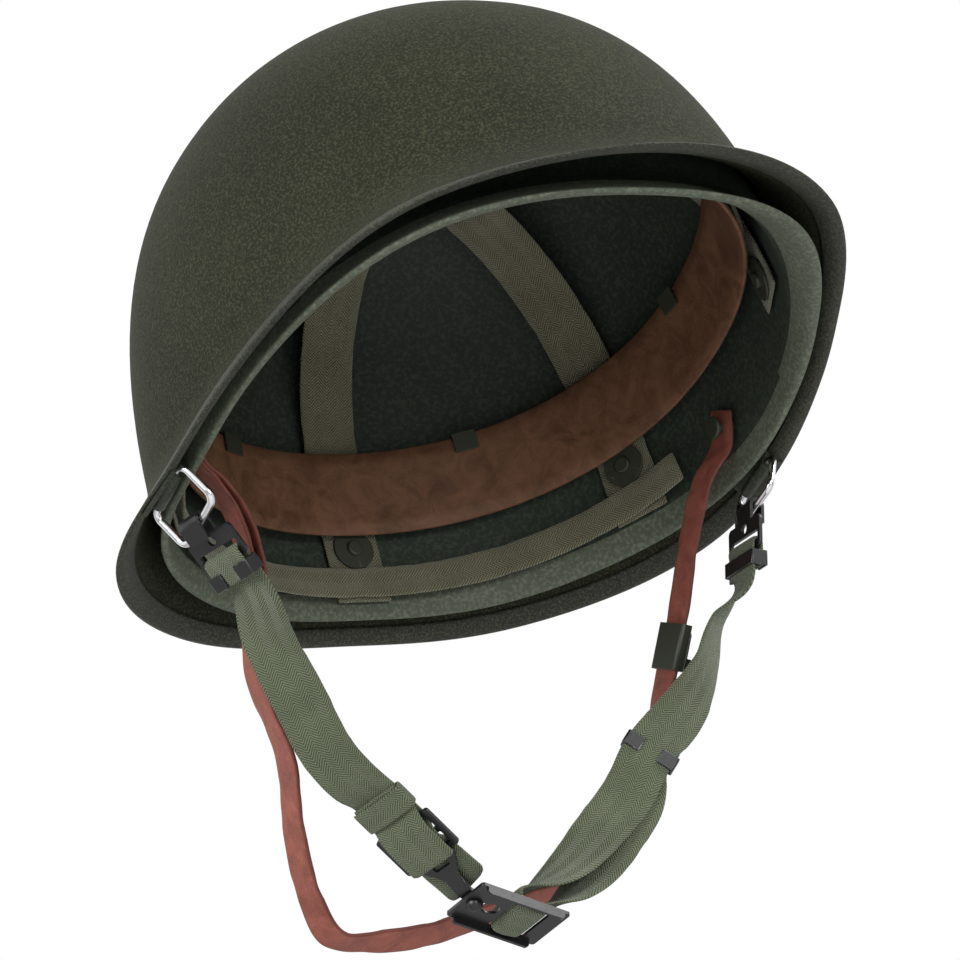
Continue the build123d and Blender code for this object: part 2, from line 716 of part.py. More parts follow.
def crown_leg(turn, frame):
    """Webbing leg from its rivet up the wall and over to the crown, ending in a sleeve for the lace."""
    low = leg_below + (nape_drop if math.cos(turn) < 0 else 0)
    middle = leg_lift + leg_thick / 2
    base = frame.origin.Z
    level = Vector(-math.cos(turn), math.sin(turn), 0)
    inset = liner_inside + middle
    stations = [(wall_point(turn, base - low, inset), frame.x_dir, None)]
    if low > leg_below:
        stations.append((wall_point(turn, base - leg_below, inset), frame.x_dir, None))
    start = base + leg_below
    for share in leg_shares:
        up = start + (crown_up - start) * share
        out = dome_radius(turn, up, inset + crown_room * share**3)
        if share == 0:
            out = radius(turn, up, inset, liner_lip)
        across = frame.x_dir * (1 - share) + level * share
        stations.append((Vector(-out * math.sin(turn), -out * math.cos(turn), up), across, None))
    end = crown_apothem + sleeve_round - sleeve_wall / 2
    inwards = Vector(math.sin(turn), math.cos(turn), 0)
    stations.append((Vector(0, 0, crown_up) - inwards * end, level, inwards))
    leg = ribbon(stations, leg_width, leg_thick)
    sleeve_at = Plane(origin=Vector(0, 0, crown_up) - inwards * crown_apothem, z_dir=level)
    leg += sleeve_at * Cylinder(sleeve_round, leg_width)
    leg -= sleeve_at * Cylinder(sleeve_bore, leg_width + cut_overrun)
    return one(leg - frame * Cylinder(rivet_neck + seat_play / 2, 4 * liner_wall))


def rivet(frame):
    """Rivet from the liner's outer face to a head on the washer."""
    length = rivet_lift + liner_wall
    neck = Pos(Z=rivet_lift - length / 2) * Cylinder(rivet_neck, length)
    head = Pos(Z=rivet_lift) * Cylinder(rivet_round, rivet_height, align=upright)
    head = fillet(head.edges().group_by(Axis.Z)[-1], radius=rivet_height / 2)
    return one(frame * (neck + head))


def washer(frame):
    disc = Pos(Z=washer_lift) * Cylinder(washer_round, washer_thick, align=upright)
    bore = Cylinder(rivet_neck + seat_play / 2, 4 * liner_wall)
    return one(frame * (disc - bore))


crown_straps = Compound([crown_leg(turn, frame) for turn, frame in zip(turns, frames)])
suspension_rivets = Compound([rivet(frame) for frame in frames])
suspension_washers = Compound([washer(frame) for frame in frames])
for frame in frames:
    liner_shell -= frame * Cylinder(rivet_neck + seat_play / 2, 4 * liner_wall)

corner_out = crown_apothem / math.cos(math.pi / suspension_points)
corners = []
for turn in turns:
    corner = turn + math.pi / suspension_points
    corners.append(Vector(-corner_out * math.sin(corner), -corner_out * math.cos(corner), crown_up))
lace_path = FilletPolyline(*corners, radius=lace_turn, close=True)
lace_start = Plane(origin=lace_path @ 0, z_dir=lace_path % 0)
crown_cord = one(sweep(lace_start * Circle(lace / 2), path=lace_path))


def wall_band(low, high, inset, thick):
    """Closed band that follows the liner's wall."""
    outer = [ring(level, lean_share, inset, liner_lip) for level in (low, high)]
    over = thick / 2
    inner = [ring(level, lean_share, inset + thick, liner_lip) for level in (low - over, high + over)]
    return one(Solid.make_loft(outer, ruled=True) - Solid.make_loft(inner, ruled=True))


band_lift = leg_lift + leg_thick + 4 * seat_play
head_inset = liner_inside + band_lift + crown_room * leg_shares[1] ** 3
band_low = band_up - band_height / 2
band_high = band_up + band_height / 2
head_band = wall_band(band_low, band_high, head_inset, band_thick)
sweat_inset = head_inset + band_thick + seat_play
sweat_high = band_high + seat_play
sweat_band = wall_band(sweat_high - sweat_height, sweat_high, sweat_inset, sweat_thick)


def band_clip(turn):
    """Sheet clip folded over the tops of the head band and the sweat band."""
    low = wall_point(turn, wall_level(band_low, turn, head_inset), head_inset)
    high = wall_point(turn, wall_level(band_high, turn, head_inset), head_inset)
    probe = band_clip_width / pot_half_width
    level = wall_point(turn + probe, high.Z, head_inset) - wall_point(turn - probe, high.Z, head_inset)
    up = (high - low).normalized()
    level = (level - up * level.dot(up)).normalized()
    frame = Plane(origin=high, x_dir=level, z_dir=up)
    if frame.y_dir.dot(Vector(high.X, high.Y, 0)) > 0:
        frame = Plane(origin=high, x_dir=-level, z_dir=up)
    room = band_thick + seat_play + sweat_thick + 2 * clip_room
    tall = band_clip_depth
    hanging = (Align.CENTER, Align.CENTER, Align.MAX)
    block = Box(band_clip_width, room + 2 * band_clip_sheet, tall, align=hanging)
    hollow = Box(band_clip_width + cut_overrun, room, tall, align=hanging)
    top = clip_fold_room
    clip = Pos(Z=top + band_clip_sheet) * block - Pos(Z=top) * hollow
    clip = fillet(clip.edges().filter_by(Axis.X).group_by(Axis.Z)[-1], radius=band_clip_sheet)
    return one(frame * Pos(Y=room / 2 - clip_room) * clip)


band_clips = Compound([band_clip(turn + math.pi / suspension_points) for turn in turns])

# Nape strap, on the rear legs
nape_span = 2 * math.pi / suspension_points + math.radians(nape_overlap)
nape_low = suspension_up - leg_below - nape_drop
nape_band = wall_band(nape_low, nape_low + nape_height, liner_inside + band_lift, band_thick)
reach = 2 * pot_front
wedge_points = [(0, 0), (reach * math.sin(nape_span), reach * math.cos(nape_span)), (reach, reach)]
wedge_points += [(-reach, reach), (-reach * math.sin(nape_span), reach * math.cos(nape_span))]
wedge = extrude(make_face(Polyline(*wedge_points, close=True)), amount=pot_height)
nape_strap = one(nape_band & wedge)


def wall_side(back, up):
    """Half width between the liner's walls at a place behind the middle."""
    turn = math.pi / 2
    for _ in range(20):
        turn = math.pi / 2 + math.asin(back / radius(turn, up, liner_inside, liner_lip))
    return radius(turn, up, liner_inside, liner_lip) * math.sin(turn)


# Leather strap: hung on two studs in the liner, doubled on the right, buckled on the left
around = [(back * stud_round, up * stud_round) for back in (-1, 1) for up in (-1, 1)]
stud_wall = min(wall_side(stud_back + back, stud_up + up) for back, up in around)
leather_side = stud_wall - seat_play - stud_base - seat_play - leather_thick / 2
leather_down = Vector(0, math.sin(math.radians(leather_tilt)), -math.cos(math.radians(leather_tilt)))
leather_normal = Vector(0, math.cos(math.radians(leather_tilt)), math.sin(math.radians(leather_tilt)))


def leather_stations(shares):
    stations = []
    for out, down, roll in shares:
        centre = Vector(out * leather_side, stud_back, stud_up) + leather_down * down * leather_drop
        stations.append((centre, roll))
    return stations


def leather_across(points):
    """Stations of the leather from (centre, roll) pairs."""
    stations = []
    last = len(points) - 1
    for i, (centre, roll) in enumerate(points):
        along = (points[min(i + 1, last)][0] - points[max(i - 1, 0)][0]).normalized()
        stations.append((centre, rolled(-1, along, roll, leather_normal), None))
    return stations


buckle_along = plane_direction(buckle_fall, leather_down)
buckle_centre = leather_stations([(buckle_out_share, buckle_down_share, 0)])[0][0]
buckle_frame = band_frame(buckle_centre, buckle_along, rolled(-1, buckle_along, 0, leather_normal))
right_leather = leather_across(leather_stations(leather_right_shares) + [(buckle_centre, 0)])[:-1]
left_leather = leather_across([(buckle_centre, 0)] + leather_stations(leather_left_shares))[1:]
held = buckle_length / 2 + buckle_sheet
straight = [station_at(buckle_frame, -held), station_at(buckle_frame, held)]
leather_strap = ribbon(right_leather + straight + left_leather, leather_width, leather_thick)
doubled = ribbon(leather_across(leather_stations(double_shares)), leather_width, leather_thick)
leather_strap = one(leather_strap + doubled)


def stud(side):
    """Stud on the liner's wall: base, neck through the leather, head."""
    frame = Plane(origin=(side * stud_wall, stud_back, stud_up), z_dir=(-side, 0, 0))
    lengths = [stud_base, 2 * leather_thick + 3 * seat_play, stud_head]
    shape = None
    lift = seat_play
    for length, size in zip(lengths, [stud_round, stud_neck, stud_round - seat_play]):
        piece = Pos(Z=lift) * Cylinder(size, length, align=upright)
        shape = piece if shape is None else shape + piece
        lift += length
    shape = fillet(shape.edges().group_by(Axis.Z)[-1], radius=stud_head / 2)
    return one(frame * shape)


for side in (-1, 1):
    eyelet = Plane(origin=(side * stud_wall, stud_back, stud_up), z_dir=(-side, 0, 0))
    leather_strap -= eyelet * Cylinder(stud_neck + seat_play, 4 * leather_width)
leather_strap = one(leather_strap)
strap_studs = Compound([stud(-1), stud(1)])

# Buckle: a sleeve with two ears that carry the lever's pin
sleeve = cross_band(buckle_frame, (0, 0), leather_width, leather_thick, buckle_sheet, buckle_length)
face_lift = leather_thick / 2 + keeper_play + buckle_sheet
pin_lift = face_lift + seat_play + lever_boss
pin_back = -buckle_length / 2 + 2 * lever_boss
ear_height = pin_lift - face_lift + lever_boss + buckle_sheet
ear = Box(buckle_sheet, 2 * lever_boss + buckle_sheet, ear_height, align=upright)
ear = Pos(Y=pin_back, Z=face_lift - buckle_sheet / 2) * ear
ear = fillet(ear.edges().filter_by(Axis.X).group_by(Axis.Z)[-1], radius=lever_boss)
ears = buckle_frame * (Pos(X=-ear_spread) * ear + Pos(X=ear_spread) * ear)
bore = Pos(Y=pin_back, Z=pin_lift) * Rot(Y=90) * Cylinder(lever_pin + pin_clearance, 2 * leather_width)
leather_buckle = one(sleeve + ears - buckle_frame * bore)
lever = Pos(Y=pin_back, Z=pin_lift) * Rot(Y=90) * Cylinder(lever_boss, lever_width)
lever += Pos(Y=pin_back + lever_length / 2, Z=pin_lift) * Box(lever_width, lever_length, lever_sheet)
lever = fillet(lever.edges().filter_by(Axis.Z).group_by(Axis.Y)[-1], radius=lever_boss)
lever += Pos(Y=pin_back, Z=pin_lift) * Rot(Y=90) * Cylinder(lever_pin, 2 * ear_spread + buckle_sheet)
leather_buckle_lever = one(buckle_frame * lever)

pieces = {
    "steel_shell": steel_shell,
    "rim_edging": rim_edging,
    "loop_bracket_right": loop_bracket(-1),
    "loop_bracket_left": loop_bracket(1),
    "strap_loop_right": strap_loop(-1),
    "strap_loop_left": strap_loop(1),
    "strap_clip_right": strap_clip_right,
    "strap_clip_left": strap_clip_left,
    "webbing_crimp_right": webbing_crimp_right,
    "webbing_crimp_left": webbing_crimp_left,
    "chin_webbing_right": chin_webbing_right,
    "chin_webbing_left": chin_webbing_left,
    "webbing_keeper": webbing_keeper,
    "left_keeper": left_keeper,
    "adjuster_slide": adjuster_slide,
    "chin_hook": chin_hook,
    "hook_plate": hook_plate,
    "liner_shell": one(liner_shell),
    "suspension_washers": suspension_washers,
    "suspension_rivets": suspension_rivets,
    "crown_straps": crown_straps,
    "crown_cord": crown_cord,
    "head_band": head_band,
    "sweat_band": sweat_band,
    "band_clips": band_clips,
    "nape_strap": nape_strap,
    "strap_studs": strap_studs,
    "leather_strap": leather_strap,
    "leather_buckle": leather_buckle,
    "leather_buckle_lever": leather_buckle_lever,
}
for name, shape in pieces.items():
    export_step(shape, "parts/" + name + ".step")
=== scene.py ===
import math

import bmesh
import bpy
from mathutils import Matrix, Vector


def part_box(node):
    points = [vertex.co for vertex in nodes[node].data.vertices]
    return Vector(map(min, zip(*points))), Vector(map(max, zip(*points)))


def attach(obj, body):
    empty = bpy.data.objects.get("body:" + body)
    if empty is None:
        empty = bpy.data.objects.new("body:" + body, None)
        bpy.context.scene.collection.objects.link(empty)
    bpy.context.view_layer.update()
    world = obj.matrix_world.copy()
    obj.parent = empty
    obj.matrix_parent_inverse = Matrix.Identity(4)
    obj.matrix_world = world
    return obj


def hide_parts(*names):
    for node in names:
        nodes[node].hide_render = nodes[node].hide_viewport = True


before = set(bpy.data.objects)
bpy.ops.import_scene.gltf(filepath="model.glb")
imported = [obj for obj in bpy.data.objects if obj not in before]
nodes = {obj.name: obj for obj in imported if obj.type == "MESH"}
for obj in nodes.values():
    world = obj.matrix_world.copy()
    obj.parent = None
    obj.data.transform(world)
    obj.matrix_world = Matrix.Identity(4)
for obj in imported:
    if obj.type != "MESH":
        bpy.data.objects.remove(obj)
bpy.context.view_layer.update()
mm = 0.001  # every size below is in millimetres

# The camera, solved on the photograph
photoView = {
    "azimuth": -33.97,
    "elevation": -25.52,
    "roll": 17.28,
    "aside": -12.63,
    "above": 58.81,
    "distance": 1352.33,
    "target": (0.0, 0.0, 70.0),
    "lens": 143.86,
    "sensor": 36.0,
}


def makeCamera(values):
    azimuth = math.radians(values["azimuth"])
    elevation = math.radians(values["elevation"])
    roll = math.radians(values["roll"])
    right = Vector((math.cos(azimuth), math.sin(azimuth), 0))
    flat = math.cos(elevation)
    back = Vector((math.sin(azimuth) * flat, -math.cos(azimuth) * flat, math.sin(elevation)))
    up = back.cross(right)
    across = right * math.cos(roll) - up * math.sin(roll)
    upwards = right * math.sin(roll) + up * math.cos(roll)
    place = Vector(values["target"]) + back * values["distance"]
    place -= across * values["aside"] + upwards * values["above"]
    data = bpy.data.cameras.new("photoCamera")
    data.sensor_width = values["sensor"]
    data.lens = values["lens"]
    data.clip_start = 0.01
    data.clip_end = 50
    camera = bpy.data.objects.new("photoCamera", data)
    bpy.context.scene.collection.objects.link(camera)
    turn = Matrix((across, upwards, back)).transposed().to_4x4()
    camera.matrix_world = Matrix.Translation(place * mm) @ turn
    bpy.context.scene.camera = camera


makeCamera(photoView)
print("camera made")

# The domes: both shells follow one form, flared into the visor and the rear lip
pot = {
    "halfWidth": 116.5,
    "front": 126.0,
    "rear": 112.5,
    "height": 167.3,
    "wall": 1.1,
    "crownFullness": 2.69,
    "planFullness": 2.13,
    "flarePower": 1.8,
    "flareRiseShares": (1.0, 0.94, 0.6, 0.5, 0.81, 1.06, 1.0),
    "rimRise": 33.0,
    "rimStep": 40.0,
    "rimFront": 160.0,
    "rimShares": (1.0, 1.0, 0.8, 0.52, 0.27, 0.17, 0.15, 0.17),
}
potLip = {
    "flare": 31.5,
    "shares": (1.0, 0.72, 0.245, 0.195, 0.515, 0.62, 0.435),
    "rise": 32.0,
    "lift": 0.0,
    "liftShares": (0, 0, 0, 0, 0, 0, 0, 0),
    "roundness": 0.3,
}
linerLip = {
    "flare": 15.0,
    "shares": (0.93, 1.0, 0.25, 0.0, 0.2, 0.28, 0.05),
    "rise": 20.0,
    "lift": 3.5,
    "liftShares": (-0.3, -0.8, -0.4, 0.0, 0.3, 0.9, 1.0, 0.4),
    "roundness": 0.8,
}
liner = {"inset": 2.7, "wall": 2.6, "lean": 0.105}
liner["inside"] = liner["inset"] + liner["wall"]


def blend(table, place):
    last = len(table) - 1
    place = max(0.0, min(float(last), place))
    i = min(int(place), last - 1)
    part = place - i
    before = table[i - 1] if i > 0 else table[1]
    after = table[i + 2] if i + 2 <= last else table[last - 1]
    value = (2 * part**3 - 3 * part**2 + 1) * table[i]
    value += (part**3 - 2 * part**2 + part) * (table[i + 1] - before) / 2
    value += (3 * part**2 - 2 * part**3) * table[i + 1]
    return value + (part**3 - part**2) * (after - table[i]) / 2


def rimHeight(back, lip):
    place = (back + pot["rimFront"]) / pot["rimStep"]
    lift = lip["lift"] * blend(lip["liftShares"], place)
    return pot["rimRise"] * blend(pot["rimShares"], place) + lift


def domeRadius(turn, up, inset):
    height = pot["height"] - inset
    if up >= height:
        return 0.0
    fullness = pot["crownFullness"]
    fade = (1 - (max(up, 0) / height) ** fullness) ** (1 / fullness)
    halfLength = (pot["front"] if math.cos(turn) > 0 else pot["rear"]) - inset
    along = abs(math.cos(turn)) / halfLength
    across = abs(math.sin(turn)) / (pot["halfWidth"] - inset)
    power = pot["planFullness"]
    return fade / (along**power + across**power) ** (1 / power)


def wallRadius(turn, up, inset, lip):
    place = math.acos(max(-1.0, min(1.0, math.cos(turn)))) / math.pi * 6
    flare = lip["flare"] * blend(lip["shares"], place)
    rise = lip["rise"] * blend(pot["flareRiseShares"], place)
    rimBack = -(domeRadius(turn, 0, 0) + flare) * math.cos(turn)
    above = up - rimHeight(rimBack, lip)
    plain = domeRadius(turn, up, inset)
    if above >= rise:
        return plain
    part = (rise - above) / rise
    slope = flare * pot["flarePower"] / rise * part ** (pot["flarePower"] - 1)
    return plain + flare * part ** pot["flarePower"] - inset * (math.sqrt(1 + slope**2) - 1)


def wallPoint(turn, up, inset, lip=linerLip):
    out = wallRadius(turn, up, inset, lip)
    return Vector((-out * math.sin(turn), -out * math.cos(turn), up))


settleSteps = 30  # a height and a radius that depend on each other settle within these


def rimUp(turn, inset, lip):
    up = pot["rimRise"] / 2
    for _ in range(settleSteps):
        up = rimHeight(-wallRadius(turn, up, inset, lip) * math.cos(turn), lip)
    return up


def wallLevel(base, turn, inset):
    out = pot["halfWidth"]
    for _ in range(settleSteps):
        level = base + liner["lean"] * out * math.cos(turn)
        out = (out + wallRadius(turn, level, inset, linerLip)) / 2
    return base + liner["lean"] * out * math.cos(turn)


# A skin is drawn ring by ring: each ring is a function from the turn to a point
def turnOf(vert):
    return math.atan2(-vert.co.x, -vert.co.y)


def smoothPiece(name, bm):
    bmesh.ops.recalc_face_normals(bm, faces=bm.faces)
    mesh = bpy.data.meshes.new(name)
    bm.to_mesh(mesh)
    bm.free()
    mesh.polygons.foreach_set("use_smooth", [True] * len(mesh.polygons))
    piece = bpy.data.objects.new(name, mesh)
    bpy.context.scene.collection.objects.link(piece)
    return piece


def ringStack(name, rings, around, closed=False):
    bm = bmesh.new()
    pattern = bm.verts.layers.float_vector.new("weave")
    verts = bmesh.ops.create_circle(bm, segments=around, radius=100)["verts"]
    edges = list({edge for vert in verts for edge in vert.link_edges})
    first = edges
    for i, ring in enumerate(rings):
        if i > 0:
            geom = bmesh.ops.extrude_edge_only(bm, edges=edges)["geom"]
            verts = [item for item in geom if isinstance(item, bmesh.types.BMVert)]
            edges = [item for item in geom if isinstance(item, bmesh.types.BMEdge) and item.is_boundary]
        for vert in verts:
            turn = turnOf(vert)
            point, across = ring(turn)
            vert.co = point * mm
            vert[pattern] = Vector((across, abs(turn) * pot["halfWidth"], 0)) * mm
    if closed:
        bmesh.ops.bridge_loops(bm, edges=first + edges)
    else:
        for loop in (first, edges):
            tips = list({vert for edge in loop for vert in edge.verts})
            centre = sum((vert.co for vert in tips), Vector()) / len(tips)
            bmesh.ops.pointmerge(bm, verts=tips, merge_co=centre)
    return smoothPiece(name, bm)


def domeRing(share, inset, lip, drop=0.0):
    def ring(turn):
        low = rimUp(turn, inset, lip)
        top = pot["height"] - inset
        up = low + (top - low) * share - drop
        return wallPoint(turn, up, inset, lip), 0.0

    return ring


shellDetail = {
    "around": 176,
    "lowSteps": 22,
    "lowShare": 0.3,
    "highSteps": 34,
    "crown": 0.9997,
    "lipParts": (0.8, 0.5, 0.2),
}


def domeShares():
    low = shellDetail["lowShare"]
    shares = [low * i / shellDetail["lowSteps"] for i in range(shellDetail["lowSteps"])]
    power = 2 / pot["crownFullness"]
    start = math.asin(low ** (1 / power))
    for i in range(shellDetail["highSteps"] + 1):
        angle = start + (math.pi / 2 - start) * i / shellDetail["highSteps"]
        shares.append(min(math.sin(angle) ** power, shellDetail["crown"]))
    return shares


def makeShell(name, node, body, outer, wall, lip):
    shares = domeShares()
    rings = [domeRing(share, outer + wall, lip) for share in reversed(shares)]
    for part in shellDetail["lipParts"]:
        drop = lip["roundness"] * math.sin(math.pi * part)
        rings.append(domeRing(0.0, outer + wall * part, lip, drop))
    rings += [domeRing(share, outer, lip) for share in shares]
    piece = ringStack(name, rings, shellDetail["around"])
    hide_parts(node)
    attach(piece, body)
    print(name, "made with", len(piece.data.polygons), "faces")
    return piece


makeShell("steelShell", "steel_shell", "pot", 0.0, pot["wall"], potLip)
linerShell = makeShell("linerShell", "liner_shell", "liner", liner["inset"], liner["wall"], linerLip)

# Folded edging: (inset, height above the rim line) round its section
edging = {
    "section": (
        (-0.1, 4.5), (-0.55, 4.3), (-0.75, 3.4), (-0.8, 1.5), (-0.75, 0.0), (-0.35, -0.6), (0.55, -0.8),
        (1.45, -0.6), (1.85, 0.0), (1.9, 1.5), (1.85, 3.4), (1.6, 4.3), (1.2, 4.5), (1.0, 2.0), (0.1, 2.0),
    ),
}


def edgingRing(inset, lift):
    def ring(turn):
        return wallPoint(turn, rimUp(turn, inset, potLip) + lift, inset, potLip), 0.0

    return ring


edgingRings = [edgingRing(*point) for point in edging["section"]]
rimEdging = ringStack("rimEdging", edgingRings, shellDetail["around"], closed=True)
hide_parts("rim_edging")
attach(rimEdging, "pot")
print("shells and edging made")

# Directions shared by the bails and the straps
hinge = {
    "side": 118.5,
    "back": 13.0,
    "up": 8.0,
    "dip": 8.0,
    "bailReach": 16.0,
    "bailLean": 27.8,
}
dip = math.radians(hinge["dip"])
hingeAxis = Vector((0, math.cos(dip), -math.sin(dip)))
hingeDown = Vector((0, -math.sin(dip), -math.cos(dip)))


def leanBack(angle):
    turn = math.radians(angle)
    down = Vector((0, math.sin(turn), -math.cos(turn)))
    return down, Vector((0, math.cos(turn), math.sin(turn)))


def bandFrame(origin, along, across):
    across = (across - along * across.dot(along)).normalized()
    outwards = across.cross(along)
    return {"origin": origin, "x": across, "y": outwards.cross(across), "z": outwards}


def onFrame(place, y, z=0.0, x=0.0):
    return place["origin"] + place["x"] * x + place["y"] * y + place["z"] * z


def station(place, y, z=0.0):
    return onFrame(place, y, z), place["x"]


def planeDirection(angle, down):
    turn = math.radians(angle)
    return Vector((math.cos(turn), 0, 0)) + down * math.sin(turn)


def rolled(side, along, roll, normal):
    inwards = normal.cross(along) * side
    turn = math.radians(roll)
    return (normal * math.cos(turn) - inwards * math.sin(turn)) * -side


def planeStations(origin, reach, drop, down, normal, side, shares, before=None):
    points = [origin + Vector((out * reach, 0, 0)) + down * deep * drop for out, deep, roll in shares]
    last = len(points) - 1
    found = []
    for i, (out, deep, roll) in enumerate(shares):
        start = points[i - 1] if i > 0 else (before or points[0])
        along = (points[min(i + 1, last)] - start).normalized()
        found.append((points[i], rolled(side, along, roll, normal)))
    return found


def arcStations(place, middle, lift, radius, start, sweep, steps):
    found = []
    for i in range(steps + 1):
        turn = math.radians(start + sweep * i / steps)
        found.append(station(place, middle + radius * math.cos(turn), lift + radius * math.sin(turn)))
    return found


def meet(slope, otherSlope, span, otherSpan):
    return (otherSlope * span + slope * otherSpan) / (span + otherSpan)


# A band is a closed section carried along a smooth route
def smoothRoute(stations, step):
    points = []
    for i, (centre, across) in enumerate(stations):
        if points and points[-1][1].dot(across) < 0:
            across = -across
        points.append((centre, across.normalized()))
    last = len(points) - 1
    found = []
    for i in range(last):
        a, b = points[i], points[i + 1]
        span = (b[0] - a[0]).length
        before = points[max(i - 1, 0)]
        after = points[min(i + 2, last)]
        spanBefore = max((a[0] - before[0]).length, 1e-6)
        spanAfter = max((after[0] - b[0]).length, 1e-6)
        ease = []
        for k in (0, 1):
            straight = (b[k] - a[k]) / span
            start = end = straight
            if i > 0:
                start = meet(straight, (a[k] - before[k]) / spanBefore, span, spanBefore)
            if i < last - 1:
                end = meet(straight, (after[k] - b[k]) / spanAfter, span, spanAfter)
            ease.append((start * span, end * span))
        count = max(1, round(span / step))
        for j in range(count + (1 if i == last - 1 else 0)):
            t = j / count
            row = []
            for k in (0, 1):
                leaving = (2 * t**3 - 3 * t**2 + 1) * a[k] + (t**3 - 2 * t**2 + t) * ease[k][0]
                reaching = (3 * t**2 - 2 * t**3) * b[k] + (t**3 - t**2) * ease[k][1]
                row.append(leaving + reaching)
            found.append((row[0], row[1].normalized()))
    return found


bandForm = {
    "slowRipple": 0.21,
    "fastRipple": 0.53,
    "fastShare": 0.6,
    "narrowing": 0.12,
    "bow": 0.16,
    "bowFade": 10.0,
    "sideRound": 0.35,
    "faceRound": 0.55,
    "endThick": 0.35,
}


def bandPiece(name, stations, width, thick, step=0.8, corner=0.0, shear=0.0, around=28, soften=1.0):
    route = smoothRoute(stations, step)
    lengths = [0.0]
    for i in range(1, len(route)):
        lengths.append(lengths[-1] + (route[i][0] - route[i - 1][0]).length)
    total = lengths[-1]
    bm = bmesh.new()
    pattern = bm.verts.layers.float_vector.new("weave")
    angle = bm.verts.layers.float.new("angle")
    verts = bmesh.ops.create_circle(bm, segments=around, radius=1)["verts"]
    for vert in verts:
        vert[angle] = math.atan2(vert.co.y, vert.co.x)
    edges = list({edge for vert in verts for edge in vert.link_edges})
    first = edges
    for i, (centre, across) in enumerate(route):
        if i > 0:
            geom = bmesh.ops.extrude_edge_only(bm, edges=edges)["geom"]
            verts = [item for item in geom if isinstance(item, bmesh.types.BMVert)]
            edges = [item for item in geom if isinstance(item, bmesh.types.BMEdge) and item.is_boundary]
        ahead = route[min(i + 1, len(route) - 1)][0] - route[max(i - 1, 0)][0]
        along = ahead.normalized()
        side = (across - along * across.dot(along)).normalized()
        normal = side.cross(along)
        toEnd = total - lengths[i]
        fromEnd = min(lengths[i], toEnd)
        cut = 0.0
        if corner and toEnd < corner:
            cut = corner - math.sqrt(max(corner**2 - (corner - toEnd) ** 2, 0))
        ripple = math.sin(lengths[i] * bandForm["slowRipple"] + width)
        ripple += bandForm["fastShare"] * math.sin(lengths[i] * bandForm["fastRipple"] + thick)
        half = width / 2 - cut - bandForm["narrowing"] * abs(ripple) * soften
        bow = bandForm["bow"] * ripple * soften * min(1.0, fromEnd / bandForm["bowFade"])
        soft = min(1.0, bandForm["endThick"] + fromEnd / thick)
        for vert in verts:
            turn = vert[angle]
            x = math.copysign(abs(math.cos(turn)) ** bandForm["sideRound"], math.cos(turn)) * half
            y = math.copysign(abs(math.sin(turn)) ** bandForm["faceRound"], math.sin(turn))
            y *= thick / 2 * soft
            y += bow * math.cos(turn)
            push = shear * x / width * min(1.0, lengths[i] / total) ** 8
            vert.co = (centre + side * x + normal * y + along * push) * mm
            vert[pattern] = Vector((x, lengths[i], y)) * mm
    for loop in (first, edges):
        tips = list({vert for edge in loop for vert in edge.verts})
        bmesh.ops.contextual_create(bm, geom=tips)
    return smoothPiece(name, bm)


# Chin strap: webbing from the clips, over the slide and round the plate
webbing = {
    "width": 19.0,
    "thick": 1.5,
    "tilt": 21.75,
    "drop": 150.0,
    "rightShares": ((-0.722, 0.344, 40), (-0.64, 0.482, 54), (-0.56, 0.61, 50), (-0.49, 0.672, 44)),
    "leftShares": ((0.805, 0.341, 42), (0.74, 0.46, 62), (0.676, 0.529, 85), (0.595, 0.59, 108)),
    "frontShares": ((0.433, 0.732, 121), (0.316, 0.82, 130), (0.194, 0.897, 155)),
    "backShares": ((0.46, 0.755, 121), (0.383, 0.835, 131), (0.245, 0.94, 158)),
}
clip = {
    "shift": 3.0,
    "skew": 20.0,
    "leanRight": 35.0,
    "leanLeft": 12.0,
    "offset": 2.3,
    "barAt": 13.6,
    "barEnd": 15.6,
    "ring": 1.7,
    "run": 12.0,
    "tail": 9.0,
}
slide = {
    "out": -0.3,
    "down": 0.817,
    "fall": 45.0,
    "roll": 36.0,
    "route": (
        (-21.9, -1.65), (-10.0, -1.65), (-6.6, -1.65), (-3.9, -0.2), (-1.2, 1.65), (1.2, 1.65),
        (3.9, -0.2), (6.6, -1.65), (10.7, -1.65), (18.0, -2.41), (25.7, -3.22),
    ),
    "flap": (
        (-21.9, -0.1), (-15.0, -0.1), (-11.4, 0.1), (-8.2, 2.0), (-4.5, 3.2), (0.0, 3.4), (5.0, 3.4),
        (9.6, 3.3),
    ),
    "flapNarrower": 0.2,
    "endCorner": 3.0,
    "endShear": 4.0,
    "flapCorner": 1.5,
    "keeperAt": -16.65,
    "keeperLift": -0.9,
    "keeperLength": 9.0,
    "keeperRoom": 1.1,
    "keeperDepth": 4.1,
    "keeperThick": 0.85,
}
plate = {
    "out": -0.022,
    "down": 0.995,
    "fall": 21.0,
    "roll": 24.0,
    "barAt": 4.6,
    "barRing": 3.4,
    "barTurn": 1.7,
    "barDeep": 1.0,
    "bend": 2.0,
    "frontDeep": 4.55,
    "backDeep": 1.2,
}
keeper = {
    "out": 0.516,
    "down": 0.647,
    "fall": 132.0,
    "roll": 117.0,
    "half": 5.5,
    "layer": 0.825,
}
strapDown, strapNormal = leanBack(webbing["tilt"])
strapOrigin = Vector((0, hinge["back"], hinge["up"]))


def leaning(side, angle):
    turn = math.radians(angle)
    return Vector((-side * math.sin(turn), 0, 0)) + hingeDown * math.cos(turn)


